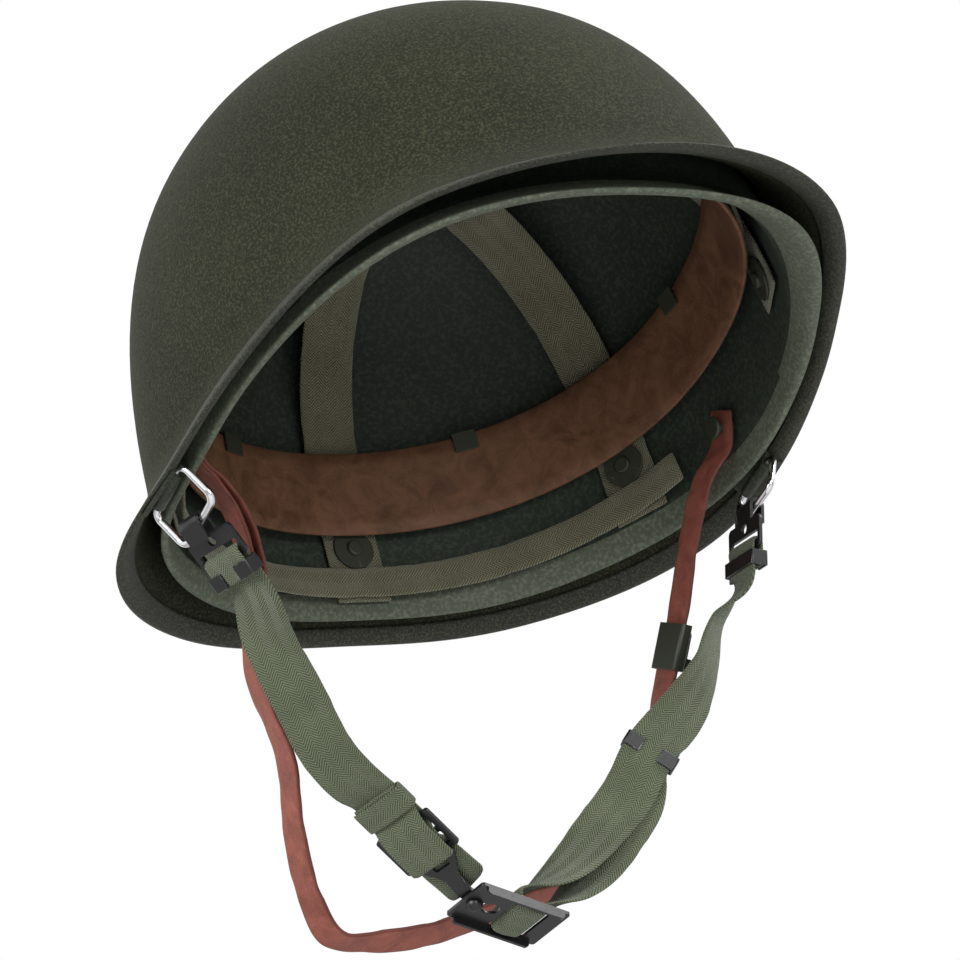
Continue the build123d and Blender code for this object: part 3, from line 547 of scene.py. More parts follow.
def clipFrame(side, lean):
    bar = Vector((side * hinge["side"], hinge["back"], hinge["up"]))
    bar += leaning(side, hinge["bailLean"]) * hinge["bailReach"] + hingeAxis * clip["shift"]
    down = leaning(side, lean)
    turn = math.radians(clip["skew"])
    across = (hingeAxis * math.cos(turn) - down * math.sin(turn)) * -side
    return bandFrame(bar, down * math.cos(turn) + hingeAxis * math.sin(turn), across)


def strapFrame(values, side):
    along = planeDirection(values["fall"], strapDown)
    centre = strapOrigin + Vector((values["out"] * hinge["side"], 0, 0))
    centre += strapDown * values["down"] * webbing["drop"]
    return bandFrame(centre, along, rolled(side, along, values["roll"], strapNormal))


def strapStations(side, shares, before=None):
    return planeStations(strapOrigin, hinge["side"], webbing["drop"], strapDown, strapNormal, side, shares,
                         before)


def clipEnd(place):
    middle = clip["barAt"]
    inner = clip["ring"] - clip["offset"]
    outer = -clip["ring"] - clip["offset"]
    ends = [station(place, middle + clip["tail"], inner), station(place, clip["barEnd"], inner)]
    ends += arcStations(place, middle, -clip["offset"], clip["ring"], 90, 180, 6)
    ends += [station(place, y, outer) for y in (clip["barEnd"], middle + clip["tail"], middle + clip["run"])]
    return ends


rightClip = clipFrame(-1, clip["leanRight"])
leftClip = clipFrame(1, clip["leanLeft"])
slideFrame = strapFrame(slide, -1)
plateFrame = strapFrame(plate, -1)
keeperFrame = strapFrame(keeper, 1)

rightEnd = clipEnd(rightClip)
rightRoute = rightEnd + strapStations(-1, webbing["rightShares"], rightEnd[-1][0])
rightRoute += [station(slideFrame, y, z) for y, z in slide["route"]]
chinWebbingRight = bandPiece("chinWebbingRight", rightRoute, webbing["width"], webbing["thick"],
                             corner=slide["endCorner"], shear=slide["endShear"])
flapRoute = [station(slideFrame, y, z) for y, z in slide["flap"]]
chinFlap = bandPiece("chinWebbingFlap", flapRoute, webbing["width"] - slide["flapNarrower"], webbing["thick"],
                     corner=slide["flapCorner"])


def plateLeg(way, deep):
    middle = plate["barAt"] + way * (plate["barRing"] + plate["barTurn"]) + plate["bend"]
    return arcStations(plateFrame, middle, -deep, plate["bend"], 240, -60, 4)


leftEnd = clipEnd(leftClip)
leftRoute = leftEnd + strapStations(1, webbing["leftShares"], leftEnd[-1][0])
keeperEnds = (-keeper["half"], keeper["half"])
leftRoute += [station(keeperFrame, end, keeper["layer"]) for end in keeperEnds]
leftRoute += strapStations(1, webbing["frontShares"], leftRoute[-1][0])
leftRoute += plateLeg(-1, plate["frontDeep"])
barStart = plate["barAt"] - plate["barRing"]
barStop = plate["barAt"] + plate["barRing"]
leftRoute += [station(plateFrame, barStart - plate["barTurn"], -plate["barDeep"])]
leftRoute += arcStations(plateFrame, barStart, 0.0, plate["barTurn"], 180, -90, 4)
leftRoute += arcStations(plateFrame, barStop, 0.0, plate["barTurn"], 90, -90, 4)
leftRoute += list(reversed(plateLeg(1, plate["backDeep"])))
keeperBack = [station(keeperFrame, end, -keeper["layer"]) for end in keeperEnds]
leftRoute += list(reversed(strapStations(1, webbing["backShares"], keeperBack[-1][0])))
leftRoute += list(reversed(keeperBack))
chinWebbingLeft = bandPiece("chinWebbingLeft", leftRoute, webbing["width"], webbing["thick"])


def loopRoute(place, middle, lift, width, depth, radius=0.9, steps=4):
    found = []
    for i, (sideX, sideZ) in enumerate(((1, 1), (-1, 1), (-1, -1), (1, -1))):
        for k in range(steps + 1):
            turn = math.radians(90 * (i + k / steps))
            x = sideX * (width / 2 - radius) + radius * math.cos(turn)
            z = sideZ * (depth / 2 - radius) + radius * math.sin(turn)
            found.append((onFrame(place, middle, lift + z, x), place["y"]))
    found.append((onFrame(place, middle, lift + depth / 2, width / 4), place["y"]))
    return found


keeperWidth = webbing["width"] + slide["keeperRoom"]
keeperRoute = loopRoute(slideFrame, slide["keeperAt"], slide["keeperLift"], keeperWidth, slide["keeperDepth"])
keeperLoop = bandPiece("webbingKeeper", keeperRoute, slide["keeperLength"], slide["keeperThick"], step=0.5,
                       around=20, soften=0.0)
for piece, node in ((chinWebbingRight, "chin_webbing_right"), (chinWebbingLeft, "chin_webbing_left"),
                    (keeperLoop, "webbing_keeper")):
    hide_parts(node)
for piece in (chinWebbingRight, chinFlap, chinWebbingLeft, keeperLoop):
    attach(piece, "chin_strap")
print("chin strap made")

# Leather strap on the liner's studs
leather = {
    "width": 12.7,
    "thick": 1.8,
    "tilt": 31.0,
    "drop": 175.0,
    "back": 9.0,
    "up": 27.0,
    "inFromStud": 2.4,
    "rightShares": (
        (-1.0, -0.037, 0), (-1.0, 0.037, 0), (-0.93, 0.085, 0), (-0.856, 0.15, 0), (-0.808, 0.23, 2),
        (-0.771, 0.486, 2), (-0.672, 0.632, 3), (-0.642, 0.783, 7), (-0.588, 0.909, 15), (-0.51, 0.99, 27),
        (-0.339, 1.005, 42), (-0.152, 1.0, 49), (0.032, 0.975, 49), (0.267, 0.947, 48), (0.493, 0.918, 40),
        (0.606, 0.853, 30), (0.658, 0.758, 18),
    ),
    "leftShares": ((0.878, 0.2, 2), (0.93, 0.1, 0), (1.0, 0.037, 0), (1.0, -0.037, 0)),
    "doubleShares": (
        (-0.9845, -0.037, 0), (-0.9845, 0.037, 0), (-0.89, 0.095, 0), (-0.816, 0.16, 0), (-0.772, 0.24, 2),
        (-0.762, 0.3, 3),
    ),
    "buckle": (0.792, 0.451),
    "buckleFall": -76.0,
    "held": 9.9,
}
leatherDown, leatherNormal = leanBack(leather["tilt"])
leatherOrigin = Vector((0, leather["back"], leather["up"]))
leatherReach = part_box("strap_studs")[1].x / mm - leather["inFromStud"]


def leatherStations(shares):
    return planeStations(leatherOrigin, leatherReach, leather["drop"], leatherDown, leatherNormal, -1, shares)


def leatherBand(name, route):
    piece = bandPiece(name, route, leather["width"], leather["thick"])
    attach(piece, "leather")
    return piece


buckleOut, buckleDeep = leather["buckle"]
buckleCentre = leatherOrigin + Vector((buckleOut * leatherReach, 0, 0))
buckleCentre += leatherDown * buckleDeep * leather["drop"]
buckleAlong = planeDirection(leather["buckleFall"], leatherDown)
buckleFrame = bandFrame(buckleCentre, buckleAlong, rolled(-1, buckleAlong, 0, leatherNormal))
leatherRoute = leatherStations(leather["rightShares"])
leatherRoute += [station(buckleFrame, -leather["held"]), station(buckleFrame, leather["held"])]
leatherRoute += leatherStations(leather["leftShares"])
leatherStrap = leatherBand("leatherStrap", leatherRoute)
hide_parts("leather_strap")
leatherBand("leatherDoubled", leatherStations(leather["doubleShares"]))
print("leather strap made")

# Suspension: six webbing legs, the head band with its sweat band, and the nape strap
suspension = {
    "points": 6,
    "up": 44.0,
    "legWidth": 22.0,
    "legThick": 1.4,
    "legLift": 1.7,
    "legBelow": 9.0,
    "napeDrop": 12.0,
    "crownRoom": 26.0,
    "crownApothem": 24.0,
    "shares": (0.0, 0.13, 0.27, 0.5, 0.7, 0.86, 0.95),
    "bandShare": 0.27,
    "foldAngles": (-20, 20, 70, 120, 170, 220),
    "foldRoom": 0.3,
    "tangentTurn": 0.07,
    "bandUp": 66.0,
    "bandHeight": 25.0,
    "bandThick": 1.5,
    "bandLift": 4.3,
    "sweatHeight": 32.0,
    "sweatThick": 1.6,
    "seat": 0.3,
    "sweepSteps": 144,
    "acrossSteps": 6,
    "edgeShare": 0.3,
    "napeHeight": 12.0,
    "napeSpan": 72.0,
    "napeSteps": 16,
    "lace": 2.6,
    "laceReach": 0.87,
    "laceCorner": 0.2,
    "laceSteps": 24,
}
crownUp = pot["height"] - liner["inside"] - suspension["crownRoom"]
middleInset = liner["inside"] + suspension["legLift"] + suspension["legThick"] / 2


def crownLeg(number):
    turn = 2 * math.pi * number / suspension["points"]
    level = Vector((-math.cos(turn), math.sin(turn), 0))
    inwards = Vector((math.sin(turn), math.cos(turn), 0))
    base = wallLevel(suspension["up"], turn, liner["inside"])
    tangent = wallPoint(turn + suspension["tangentTurn"], base, liner["inside"])
    tangent -= wallPoint(turn - suspension["tangentTurn"], base, liner["inside"])
    tangent = Vector((tangent.x, tangent.y, 0)).normalized()
    low = suspension["legBelow"] + (suspension["napeDrop"] if math.cos(turn) < 0 else 0)
    stations = [(wallPoint(turn, up, middleInset), tangent) for up in (base - low, base)]
    start = base + suspension["legBelow"]
    for share in suspension["shares"]:
        up = start + (crownUp - start) * share
        out = domeRadius(turn, up, middleInset + suspension["crownRoom"] * share**3)
        if share == 0:
            out = wallRadius(turn, up, middleInset, linerLip)
        point = Vector((-out * math.sin(turn), -out * math.cos(turn), up))
        stations.append((point, tangent * (1 - share) + level * share))
    lift = suspension["lace"] / 2 + suspension["foldRoom"] + suspension["legThick"] / 2
    centre = Vector((0, 0, crownUp)) - inwards * suspension["crownApothem"]
    for angle in suspension["foldAngles"]:
        a = math.radians(angle)
        stations.append((centre + inwards * math.sin(a) * lift + Vector((0, 0, math.cos(a) * lift)), level))
    return bandPiece(f"crownStrap{number + 1}", stations, suspension["legWidth"], suspension["legThick"],
                     step=1.5)


for number in range(suspension["points"]):
    leg = crownLeg(number)
    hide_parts("crown_straps")
    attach(leg, "liner")


def bandRing(base, inset):
    def ring(turn):
        up = wallLevel(base, turn, inset)
        return wallPoint(turn, up, inset), base - suspension["bandUp"]

    return ring


def wallBand(name, node, low, high, inset, thick):
    sections = []
    edge = thick * suspension["edgeShare"]
    steps = suspension["acrossSteps"]
    for i in range(steps + 1):
        sections.append((low + edge + (high - low - 2 * edge) * i / steps, inset))
    sections += [(high, inset + edge), (high, inset + thick - edge)]
    for i in range(steps + 1):
        sections.append((high - edge - (high - low - 2 * edge) * i / steps, inset + thick))
    sections += [(low, inset + thick - edge), (low, inset + edge)]
    rings = [bandRing(*section) for section in sections]
    piece = ringStack(name, rings, suspension["sweepSteps"], closed=True)
    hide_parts(node)
    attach(piece, "liner")


headInset = liner["inside"] + suspension["bandLift"]
headInset += suspension["crownRoom"] * suspension["bandShare"] ** 3
bandLow = suspension["bandUp"] - suspension["bandHeight"] / 2
bandHigh = suspension["bandUp"] + suspension["bandHeight"] / 2
wallBand("headBand", "head_band", bandLow, bandHigh, headInset, suspension["bandThick"])
sweatInset = headInset + suspension["bandThick"] + suspension["seat"]
sweatHigh = bandHigh + suspension["seat"]
sweatLow = sweatHigh - suspension["sweatHeight"]
wallBand("sweatBand", "sweat_band", sweatLow, sweatHigh, sweatInset, suspension["sweatThick"])


def napeRoute():
    found = []
    base = suspension["up"] - suspension["legBelow"] - suspension["napeDrop"] + suspension["napeHeight"] / 2
    inset = liner["inside"] + suspension["bandLift"] + suspension["bandThick"] / 2
    half = suspension["napeSteps"] // 2
    for i in range(-half, half + 1):
        turn = math.pi + math.radians(suspension["napeSpan"] * i / half)
        up = wallLevel(base, turn, inset)
        found.append((wallPoint(turn, up, inset), Vector((0, 0, 1))))
    return found


napeStrap = bandPiece("napeStrap", napeRoute(), suspension["napeHeight"], suspension["bandThick"], step=2.0)
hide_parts("nape_strap")
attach(napeStrap, "liner")


def laceRoute():
    sector = 2 * math.pi / suspension["points"]
    out = suspension["crownApothem"] / math.cos(sector / 2)
    found = []
    for i in range(suspension["laceSteps"] + 1):
        turn = 2 * math.pi * i / suspension["laceSteps"]
        corner = abs((turn / sector) % 1 - 0.5)
        reach = out * (suspension["laceReach"] + suspension["laceCorner"] * corner)
        place = Vector((-math.sin(turn + sector / 2), -math.cos(turn + sector / 2), 0)) * reach
        found.append((place + Vector((0, 0, crownUp)), Vector((0, 0, 1))))
    return found


crownLace = bandPiece("crownLace", laceRoute(), suspension["lace"], suspension["lace"], step=1.0, around=16,
                      soften=0.0)
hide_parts("crown_cord")
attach(crownLace, "liner")
print("suspension made")


# Materials: effects shared by several finishes are node groups
def addNode(tree, kind, **values):
    made = tree.nodes.new(kind)
    for name, value in values.items():
        setattr(made, name, value)
    return made


def setInputs(made, **values):
    for name, value in values.items():
        made.inputs[name.replace("_", " ")].default_value = value


def newGroup(name, inputs, outputs):
    tree = bpy.data.node_groups.new(name, "ShaderNodeTree")
    for label, kind, value in inputs:
        socket = tree.interface.new_socket(name=label, in_out="INPUT", socket_type=kind)
        if value is not None:
            socket.default_value = value
    for label, kind in outputs:
        tree.interface.new_socket(name=label, in_out="OUTPUT", socket_type=kind)
    return tree, addNode(tree, "NodeGroupInput"), addNode(tree, "NodeGroupOutput")


def mathNode(tree, operation, a, b=None):
    made = addNode(tree, "ShaderNodeMath", operation=operation)
    for i, value in enumerate((a, b)):
        if value is None:
            continue
        if isinstance(value, (int, float)):
            made.inputs[i].default_value = value
        else:
            tree.links.new(value, made.inputs[i])
    return made.outputs[0]


def weighted(tree, a, aShare, b, bShare):
    first = mathNode(tree, "MULTIPLY", a, aShare)
    return mathNode(tree, "ADD", first, mathNode(tree, "MULTIPLY", b, bShare))


def noiseNode(tree, vector, scale, detail=4.0, roughness=0.55, distortion=0.0):
    made = addNode(tree, "ShaderNodeTexNoise")
    setInputs(made, Detail=detail, Roughness=roughness, Distortion=distortion)
    tree.links.new(vector, made.inputs["Vector"])
    if isinstance(scale, (int, float)):
        made.inputs["Scale"].default_value = scale
    else:
        tree.links.new(scale, made.inputs["Scale"])
    return made.outputs["Fac"]


def rampNode(tree, value, low, high):
    made = addNode(tree, "ShaderNodeMapRange", interpolation_type="SMOOTHSTEP")
    for name, edge in (("From Min", low), ("From Max", high)):
        if isinstance(edge, (int, float)):
            made.inputs[name].default_value = edge
        else:
            tree.links.new(edge, made.inputs[name])
    tree.links.new(value, made.inputs["Value"])
    return made.outputs["Result"]


def mixColour(tree, factor, a, b, blendType="MIX"):
    made = addNode(tree, "ShaderNodeMix", data_type="RGBA", blend_type=blendType)
    for index, value in ((0, factor), (6, a), (7, b)):
        if isinstance(value, (int, float)):
            made.inputs[index].default_value = value
        elif isinstance(value, tuple):
            made.inputs[index].default_value = (*value, 1.0)
        else:
            tree.links.new(value, made.inputs[index])
    return made.outputs[2]


vectorSocket = ("Vector", "NodeSocketVector", None)


def sandGroup():
    tree, given, out = newGroup("sandPaint", (vectorSocket, ("Grain", "NodeSocketFloat", 900.0)),
                                (("Height", "NodeSocketFloat"), ("Speck", "NodeSocketFloat")))
    fine = noiseNode(tree, given.outputs["Vector"], given.outputs["Grain"], 2.0, 0.6)
    larger = mathNode(tree, "MULTIPLY", given.outputs["Grain"], 0.35)
    coarse = noiseNode(tree, given.outputs["Vector"], larger, 3.0, 0.6)
    tree.links.new(weighted(tree, fine, 0.6, coarse, 0.6), out.inputs["Height"])
    tree.links.new(rampNode(tree, fine, 0.42, 0.68), out.inputs["Speck"])
    return tree


def wearGroup():
    inputs = (vectorSocket, ("Scale", "NodeSocketFloat", 60.0), ("Amount", "NodeSocketFloat", 0.3))
    tree, given, out = newGroup("patchyWear", inputs, (("Mask", "NodeSocketFloat"),))
    broad = noiseNode(tree, given.outputs["Vector"], given.outputs["Scale"], 5.0, 0.65, 0.4)
    smaller = mathNode(tree, "MULTIPLY", given.outputs["Scale"], 9.0)
    both = weighted(tree, broad, 0.7, noiseNode(tree, given.outputs["Vector"], smaller, 3.0, 0.6), 0.3)
    low = mathNode(tree, "SUBTRACT", 0.75, mathNode(tree, "MULTIPLY", given.outputs["Amount"], 0.4))
    tree.links.new(rampNode(tree, both, low, mathNode(tree, "ADD", low, 0.05)), out.inputs["Mask"])
    return tree


def herringboneGroup():
    inputs = (vectorSocket, ("Column", "NodeSocketFloat", 0.0032), ("Yarn", "NodeSocketFloat", 0.0011))
    outputs = (("Height", "NodeSocketFloat"), ("Shade", "NodeSocketFloat"))
    tree, given, out = newGroup("herringbone", inputs, outputs)
    parts = addNode(tree, "ShaderNodeSeparateXYZ")
    tree.links.new(given.outputs["Vector"], parts.inputs[0])
    zigzag = addNode(tree, "ShaderNodeMath", operation="PINGPONG")
    tree.links.new(mathNode(tree, "ADD", parts.outputs["X"], 0.1), zigzag.inputs[0])
    tree.links.new(given.outputs["Column"], zigzag.inputs[1])
    wobble = mathNode(tree, "MULTIPLY", noiseNode(tree, given.outputs["Vector"], 500.0, 2.0), 0.0005)
    slant = mathNode(tree, "ADD", mathNode(tree, "ADD", parts.outputs["Y"], zigzag.outputs[0]), wobble)
    phase = mathNode(tree, "MULTIPLY", mathNode(tree, "DIVIDE", slant, given.outputs["Yarn"]), 2 * math.pi)
    rib = mathNode(tree, "ADD", mathNode(tree, "MULTIPLY", mathNode(tree, "SINE", phase), 0.5), 0.5)
    fibre = noiseNode(tree, given.outputs["Vector"], 2600.0, 3.0, 0.7)
    tree.links.new(weighted(tree, rib, 0.8, fibre, 0.35), out.inputs["Height"])
    tree.links.new(weighted(tree, rib, 0.65, fibre, 0.5), out.inputs["Shade"])
    return tree


def leatherGroup():
    tree, given, out = newGroup("leatherGrain", (vectorSocket, ("Scale", "NodeSocketFloat", 900.0)),
                                (("Height", "NodeSocketFloat"), ("Tone", "NodeSocketFloat")))
    cells = addNode(tree, "ShaderNodeTexVoronoi", feature="DISTANCE_TO_EDGE")
    tree.links.new(given.outputs["Vector"], cells.inputs["Vector"])
    tree.links.new(given.outputs["Scale"], cells.inputs["Scale"])
    pores = rampNode(tree, cells.outputs["Distance"], 0.0, 0.18)
    broad = mathNode(tree, "MULTIPLY", given.outputs["Scale"], 0.12)
    creases = noiseNode(tree, given.outputs["Vector"], broad, 6.0, 0.7, 0.8)
    height = mathNode(tree, "ADD", mathNode(tree, "MULTIPLY", pores, 0.4), creases)
    tree.links.new(height, out.inputs["Height"])
    tree.links.new(creases, out.inputs["Tone"])
    return tree


groups = {"sand": sandGroup(), "wear": wearGroup(), "weave": herringboneGroup(), "leather": leatherGroup()}


def startMaterial(name, roughness, metallic=0.0, specular=0.5, sheen=0.0):
    material = bpy.data.materials.new(name)
    material.use_nodes = True
    tree = material.node_tree
    shader = tree.nodes["Principled BSDF"]
    shader.inputs["Roughness"].default_value = roughness
    shader.inputs["Metallic"].default_value = metallic
    shader.inputs["Specular IOR Level"].default_value = specular
    shader.inputs["Sheen Weight"].default_value = sheen
    return material, tree, shader


def useGroup(tree, name, vector, **values):
    made = addNode(tree, "ShaderNodeGroup", node_tree=groups[name])
    tree.links.new(vector, made.inputs["Vector"])
    setInputs(made, **values)
    return made


def bumpNode(tree, shader, height, strength, distance):
    made = addNode(tree, "ShaderNodeBump")
    setInputs(made, Strength=strength, Distance=distance)
    tree.links.new(height, made.inputs["Height"])
    tree.links.new(made.outputs["Normal"], shader.inputs["Normal"])


def objectVector(tree):
    return addNode(tree, "ShaderNodeTexCoord").outputs["Object"]


def weaveVector(tree):
    return addNode(tree, "ShaderNodeAttribute", attribute_name="weave").outputs["Vector"]


paintLook = {
    "cloudScale": 14.0, "cloudShare": 0.6, "speckShare": 0.55, "toneLow": 0.15, "toneHigh": 1.0,
    "wearScale": 45.0, "roughSpan": 0.16, "bumpDepth": 0.0004,
}


def paintMaterial(name, dark, light, chip, roughness, grain, bump, chips, specular=0.35):
    material, tree, shader = startMaterial(name, roughness, specular=specular)
    vector = objectVector(tree)
    sand = useGroup(tree, "sand", vector, Grain=grain)
    cloud = noiseNode(tree, vector, paintLook["cloudScale"], 5.0, 0.6)
    tone = weighted(tree, sand.outputs["Speck"], paintLook["speckShare"], cloud, paintLook["cloudShare"])
    colour = mixColour(tree, rampNode(tree, tone, paintLook["toneLow"], paintLook["toneHigh"]), dark, light)
    wear = useGroup(tree, "wear", vector, Scale=paintLook["wearScale"], Amount=chips)
    colour = mixColour(tree, wear.outputs["Mask"], colour, chip)
    tree.links.new(colour, shader.inputs["Base Color"])
    span = paintLook["roughSpan"]
    rough = mathNode(tree, "ADD", mathNode(tree, "MULTIPLY", cloud, span), roughness - span / 2)
    tree.links.new(rough, shader.inputs["Roughness"])
    bumpNode(tree, shader, sand.outputs["Height"], bump, paintLook["bumpDepth"])
    return material


webbingLook = {
    "roughness": 0.88, "specular": 0.2, "sheen": 0.25, "shadeShare": 0.75, "cloudScale": 60.0,
    "cloudShare": 0.35, "toneLow": 0.2, "toneHigh": 1.1, "bump": 0.9, "bumpDepth": 0.0004,
}


def webbingMaterial(name, dark, light, column, yarn):
    look = webbingLook
    material, tree, shader = startMaterial(name, look["roughness"], 0.0, look["specular"], look["sheen"])
    vector = weaveVector(tree)
    weaving = useGroup(tree, "weave", vector, Column=column, Yarn=yarn)
    cloud = noiseNode(tree, vector, look["cloudScale"], 4.0, 0.6)
    tone = weighted(tree, weaving.outputs["Shade"], look["shadeShare"], cloud, look["cloudShare"])
    colour = mixColour(tree, rampNode(tree, tone, look["toneLow"], look["toneHigh"]), dark, light)
    tree.links.new(colour, shader.inputs["Base Color"])
    bumpNode(tree, shader, weaving.outputs["Height"], look["bump"], look["bumpDepth"])
    return material


leatherLook = {
    "specular": 0.22, "grainScale": 900.0, "toneLow": 0.18, "toneHigh": 0.82, "roughLow": 0.35,
    "roughSpan": 0.3, "bump": 0.35, "bumpDepth": 0.0003,
    "edgeFrom": 0.0052, "edgeTo": 0.0062, "edgeDark": 0.4, "edgeShare": 0.65,
}


def leatherMaterial(name, dark, light, attribute):
    look = leatherLook
    material, tree, shader = startMaterial(name, look["roughLow"], specular=look["specular"])
    vector = weaveVector(tree) if attribute else objectVector(tree)
    grain = useGroup(tree, "leather", vector, Scale=look["grainScale"])
    tone = rampNode(tree, grain.outputs["Tone"], look["toneLow"], look["toneHigh"])
    colour = mixColour(tree, tone, dark, light)
    if attribute:
        parts = addNode(tree, "ShaderNodeSeparateXYZ")
        tree.links.new(vector, parts.inputs[0])
        fromMiddle = mathNode(tree, "ABSOLUTE", parts.outputs["X"])
        edge = rampNode(tree, fromMiddle, look["edgeFrom"], look["edgeTo"])
        rubbed = tuple(value * look["edgeDark"] for value in dark)
        colour = mixColour(tree, mathNode(tree, "MULTIPLY", edge, look["edgeShare"]), colour, rubbed)
    tree.links.new(colour, shader.inputs["Base Color"])
    rough = mathNode(tree, "MULTIPLY", grain.outputs["Tone"], look["roughSpan"])
    tree.links.new(mathNode(tree, "ADD", rough, look["roughLow"]), shader.inputs["Roughness"])
    bumpNode(tree, shader, grain.outputs["Height"], look["bump"], look["bumpDepth"])
    return material


metalLook = {"dentScale": 420.0, "bump": 0.12, "bumpDepth": 0.0003}


def metalMaterial(name, base, worn, roughness, wornRoughness, amount, scale, metallic=0.0):
    material, tree, shader = startMaterial(name, roughness, metallic=metallic)
    vector = objectVector(tree)
    wear = useGroup(tree, "wear", vector, Scale=scale, Amount=amount)
    tree.links.new(mixColour(tree, wear.outputs["Mask"], base, worn), shader.inputs["Base Color"])
    span = wornRoughness - roughness
    rough = mathNode(tree, "ADD", mathNode(tree, "MULTIPLY", wear.outputs["Mask"], span), roughness)
    tree.links.new(rough, shader.inputs["Roughness"])
    dents = noiseNode(tree, vector, metalLook["dentScale"], 3.0, 0.5)
    bumpNode(tree, shader, dents, metalLook["bump"], metalLook["bumpDepth"])
    return material


paints = {
    "potPaint": {
        "dark": (0.014, 0.0155, 0.009), "light": (0.05, 0.053, 0.031), "chip": (0.3, 0.3, 0.24),
        "roughness": 0.7, "grain": 1150.0, "bump": 0.75, "chips": 0.02, "specular": 0.1,
    },
    # Rim edging: the pot's own paint, made lighter as a painted highlight along the rim, with real chips of
    # wear
    "edgingPaint": {
        "dark": (0.02, 0.022, 0.016), "light": (0.07, 0.072, 0.053), "chip": (0.2, 0.19, 0.15),
        "roughness": 0.55, "grain": 1300.0, "bump": 0.5, "chips": 0.12, "specular": 0.2,
    },
    "bracketPaint": {
        "dark": (0.016, 0.02, 0.012), "light": (0.05, 0.055, 0.036), "chip": (0.2, 0.19, 0.16),
        "roughness": 0.45, "grain": 900.0, "bump": 0.25, "chips": 0.25,
    },
    "linerFibre": {
        "dark": (0.07, 0.083, 0.058), "light": (0.14, 0.16, 0.115), "chip": (0.17, 0.18, 0.14),
        "roughness": 0.6, "grain": 700.0, "bump": 0.25, "chips": 0.1,
    },
    # Painted shade: a darker copy of the liner finish for the shaded inside of the liner above its lip
    "linerInside": {
        "dark": (0.016, 0.024, 0.016), "light": (0.04, 0.052, 0.036), "chip": (0.08, 0.09, 0.07),
        "roughness": 0.65, "grain": 600.0, "bump": 0.3, "chips": 0.1,
    },
}
weaves = {
    "strapWebbing": {
        "dark": (0.034, 0.045, 0.024), "light": (0.19, 0.22, 0.13), "column": 0.0031, "yarn": 0.0011,
    },
    "linerWebbing": {
        "dark": (0.06, 0.06, 0.035), "light": (0.26, 0.25, 0.16), "column": 0.0037, "yarn": 0.0012,
    },
    "lace": {"dark": (0.3, 0.28, 0.22), "light": (0.7, 0.68, 0.6), "column": 0.0006, "yarn": 0.0008},
}
hides = {
    "strapLeather": {"dark": (0.16, 0.047, 0.034), "light": (0.35, 0.112, 0.08), "attribute": True},
    "sweatLeather": {"dark": (0.08, 0.035, 0.018), "light": (0.2, 0.1, 0.055), "attribute": False},
}
metals = {
    "bailSteel": {
        "base": (0.78, 0.78, 0.8), "worn": (0.42, 0.41, 0.4), "roughness": 0.16, "wornRoughness": 0.4,
        "amount": 0.2, "scale": 160.0, "metallic": 1.0,
    },
    "blackHardware": {
        "base": (0.008, 0.008, 0.009), "worn": (0.035, 0.034, 0.033), "roughness": 0.34, "wornRoughness": 0.5,
        "amount": 0.35, "scale": 120.0,
    },
    "hardwareEdge": {
        "base": (0.16, 0.16, 0.17), "worn": (0.02, 0.02, 0.02), "roughness": 0.35, "wornRoughness": 0.4,
        "amount": 0.75, "scale": 260.0, "metallic": 0.6,
    },
    "linerHardware": {
        "base": (0.03, 0.034, 0.022), "worn": (0.1, 0.1, 0.08), "roughness": 0.45, "wornRoughness": 0.4,
        "amount": 0.3, "scale": 150.0,
    },
}
finishes = {}
for maker, kinds in ((paintMaterial, paints), (webbingMaterial, weaves), (leatherMaterial, hides),
                     (metalMaterial, metals)):
    for name, values in kinds.items():
        finishes[name] = maker(name, **values)

dressed = {
    "steelShell": "potPaint",
    "rimEdging": "edgingPaint",
    "chinWebbingRight": "strapWebbing",
    "chinWebbingFlap": "strapWebbing",
    "chinWebbingLeft": "strapWebbing",
    "webbingKeeper": "strapWebbing",
    "leatherStrap": "strapLeather",
    "leatherDoubled": "strapLeather",
    "headBand": "linerWebbing",
    "sweatBand": "sweatLeather",
    "napeStrap": "linerWebbing",
    "crownLace": "lace",
    "linerShell": "linerFibre",
    "loop_bracket_right": "bracketPaint",
    "loop_bracket_left": "bracketPaint",
    "strap_loop_right": "bailSteel",
    "strap_loop_left": "bailSteel",
    "suspension_washers": "linerHardware",
    "suspension_rivets": "linerHardware",
    "band_clips": "linerHardware",
    "strap_studs": "linerHardware",
    "leather_buckle": "linerHardware",
    "leather_buckle_lever": "linerHardware",
}
for number in range(suspension["points"]):
    dressed[f"crownStrap{number + 1}"] = "linerWebbing"
blackNodes = (
    "strap_clip_right", "strap_clip_left", "webbing_crimp_right", "webbing_crimp_left", "left_keeper",
    "adjuster_slide", "chin_hook", "hook_plate",
)
olivePainted = (
    "suspension_washers", "band_clips", "leather_buckle", "leather_buckle_lever", "loop_bracket_right",
    "loop_bracket_left",
)
for name, finish in dressed.items():
    piece = bpy.data.objects[name]
    piece.data.materials.clear()
    piece.data.materials.append(finishes[finish])

# Painted shade on the liner's inner side, darker than its lip: its upper faces take a second, darker finish
linerShell.data.materials.append(finishes["linerInside"])
lipBand = 9.0 * mm
for face in linerShell.data.polygons:
    centre = face.center
    if centre.z > rimUp(math.atan2(-centre.x, -centre.y), liner["inside"], linerLip) * mm + lipBand:
        face.material_index = 1

# Softened edges on the metal parts, worn bright on the black ones
softEdge = {"weld": 0.01, "bright": 0.22, "plain": 0.15, "angle": 38.0, "segments": 2}


def softenEdges(piece, width, material):
    weld = piece.modifiers.new("weld", "WELD")
    weld.merge_threshold = softEdge["weld"] * mm
    bevel = piece.modifiers.new("edges", "BEVEL")
    bevel.width = width * mm
    bevel.segments = softEdge["segments"]
    bevel.limit_method = "ANGLE"
    bevel.angle_limit = math.radians(softEdge["angle"])
    bevel.material = material
    bevel.harden_normals = True


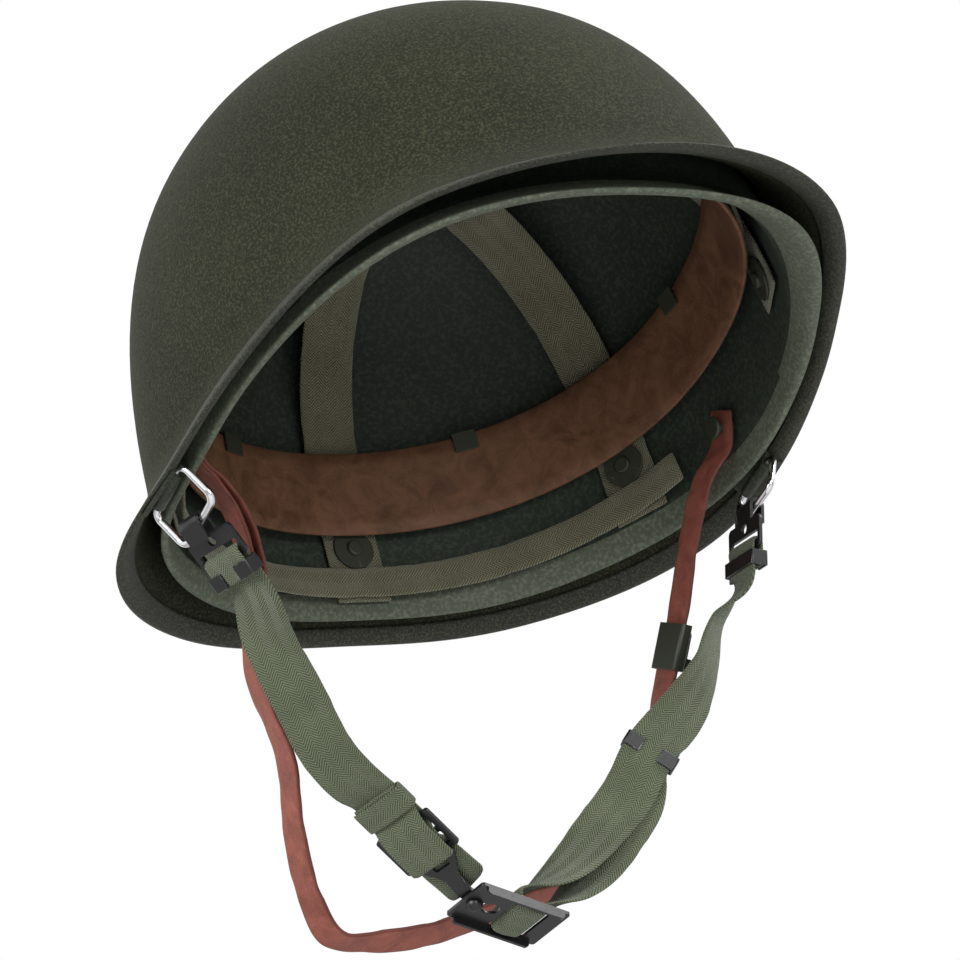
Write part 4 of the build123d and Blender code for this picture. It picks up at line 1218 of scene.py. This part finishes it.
for name in blackNodes:
    piece = nodes[name]
    piece.data.materials.clear()
    piece.data.materials.append(finishes["blackHardware"])
    piece.data.materials.append(finishes["hardwareEdge"])
    softenEdges(piece, softEdge["bright"], 1)
for name in olivePainted:
    softenEdges(nodes[name], softEdge["plain"], -1)
print("finishes given")

# Floor, backdrop light and soft lamps
studio = {
    "floorAt": -900.0,
    "floorSize": 9000.0,
    "world": 0.4,
    "lamps": (("keyLamp", (1150, -1000, 850), 700, 17.0), ("sideLamp", (-1500, -500, 350), 900, 18.0),
              ("topLamp", (-200, 300, 1500), 900, 1.0), ("frontLamp", (0, -1550, -100), 700, 9.0)),
}


def makeFloor():
    bm = bmesh.new()
    bmesh.ops.create_grid(bm, x_segments=2, y_segments=2, size=studio["floorSize"] * mm / 2)
    bmesh.ops.translate(bm, verts=bm.verts, vec=(0, 0, studio["floorAt"] * mm))
    mesh = bpy.data.meshes.new("floor")
    bm.to_mesh(mesh)
    bm.free()
    floor = bpy.data.objects.new("floor", mesh)
    bpy.context.scene.collection.objects.link(floor)
    material, tree, shader = startMaterial("paleFloor", 0.8)
    shader.inputs["Base Color"].default_value = (0.9, 0.9, 0.9, 1)
    clear = addNode(tree, "ShaderNodeBsdfTransparent")
    mix = addNode(tree, "ShaderNodeMixShader")
    tree.links.new(addNode(tree, "ShaderNodeNewGeometry").outputs["Backfacing"], mix.inputs[0])
    tree.links.new(shader.outputs[0], mix.inputs[1])
    tree.links.new(clear.outputs[0], mix.inputs[2])
    tree.links.new(mix.outputs[0], tree.nodes["Material Output"].inputs["Surface"])
    mesh.materials.append(material)


def makeLamp(name, place, size, power):
    data = bpy.data.lights.new(name, "AREA")
    data.shape = "DISK"
    data.size = size * mm
    data.energy = power
    lamp = bpy.data.objects.new(name, data)
    bpy.context.scene.collection.objects.link(lamp)
    origin = Vector(place) * mm
    aim = (origin - Vector((0, 0, 50)) * mm).normalized()
    lamp.matrix_world = Matrix.Translation(origin) @ aim.to_track_quat("Z", "Y").to_matrix().to_4x4()


def makeWorld():
    world = bpy.data.worlds.new("studio")
    bpy.context.scene.world = world
    world.use_nodes = True
    tree = world.node_tree
    soft = tree.nodes["Background"]
    soft.inputs["Color"].default_value = (1, 1, 1, 1)
    soft.inputs["Strength"].default_value = studio["world"]
    seen = addNode(tree, "ShaderNodeBackground")
    seen.inputs["Color"].default_value = (1, 1, 1, 1)
    path = addNode(tree, "ShaderNodeLightPath")
    direct = mathNode(tree, "MAXIMUM", path.outputs["Is Camera Ray"], path.outputs["Is Transmission Ray"])
    direct = mathNode(tree, "MAXIMUM", direct, path.outputs["Is Glossy Ray"])
    mix = addNode(tree, "ShaderNodeMixShader")
    tree.links.new(direct, mix.inputs[0])
    tree.links.new(soft.outputs[0], mix.inputs[1])
    tree.links.new(seen.outputs[0], mix.inputs[2])
    tree.links.new(mix.outputs[0], tree.nodes["World Output"].inputs["Surface"])


makeFloor()
for lamp in studio["lamps"]:
    makeLamp(*lamp)
makeWorld()
bpy.context.scene.view_settings.view_transform = "Standard"
print("studio made")
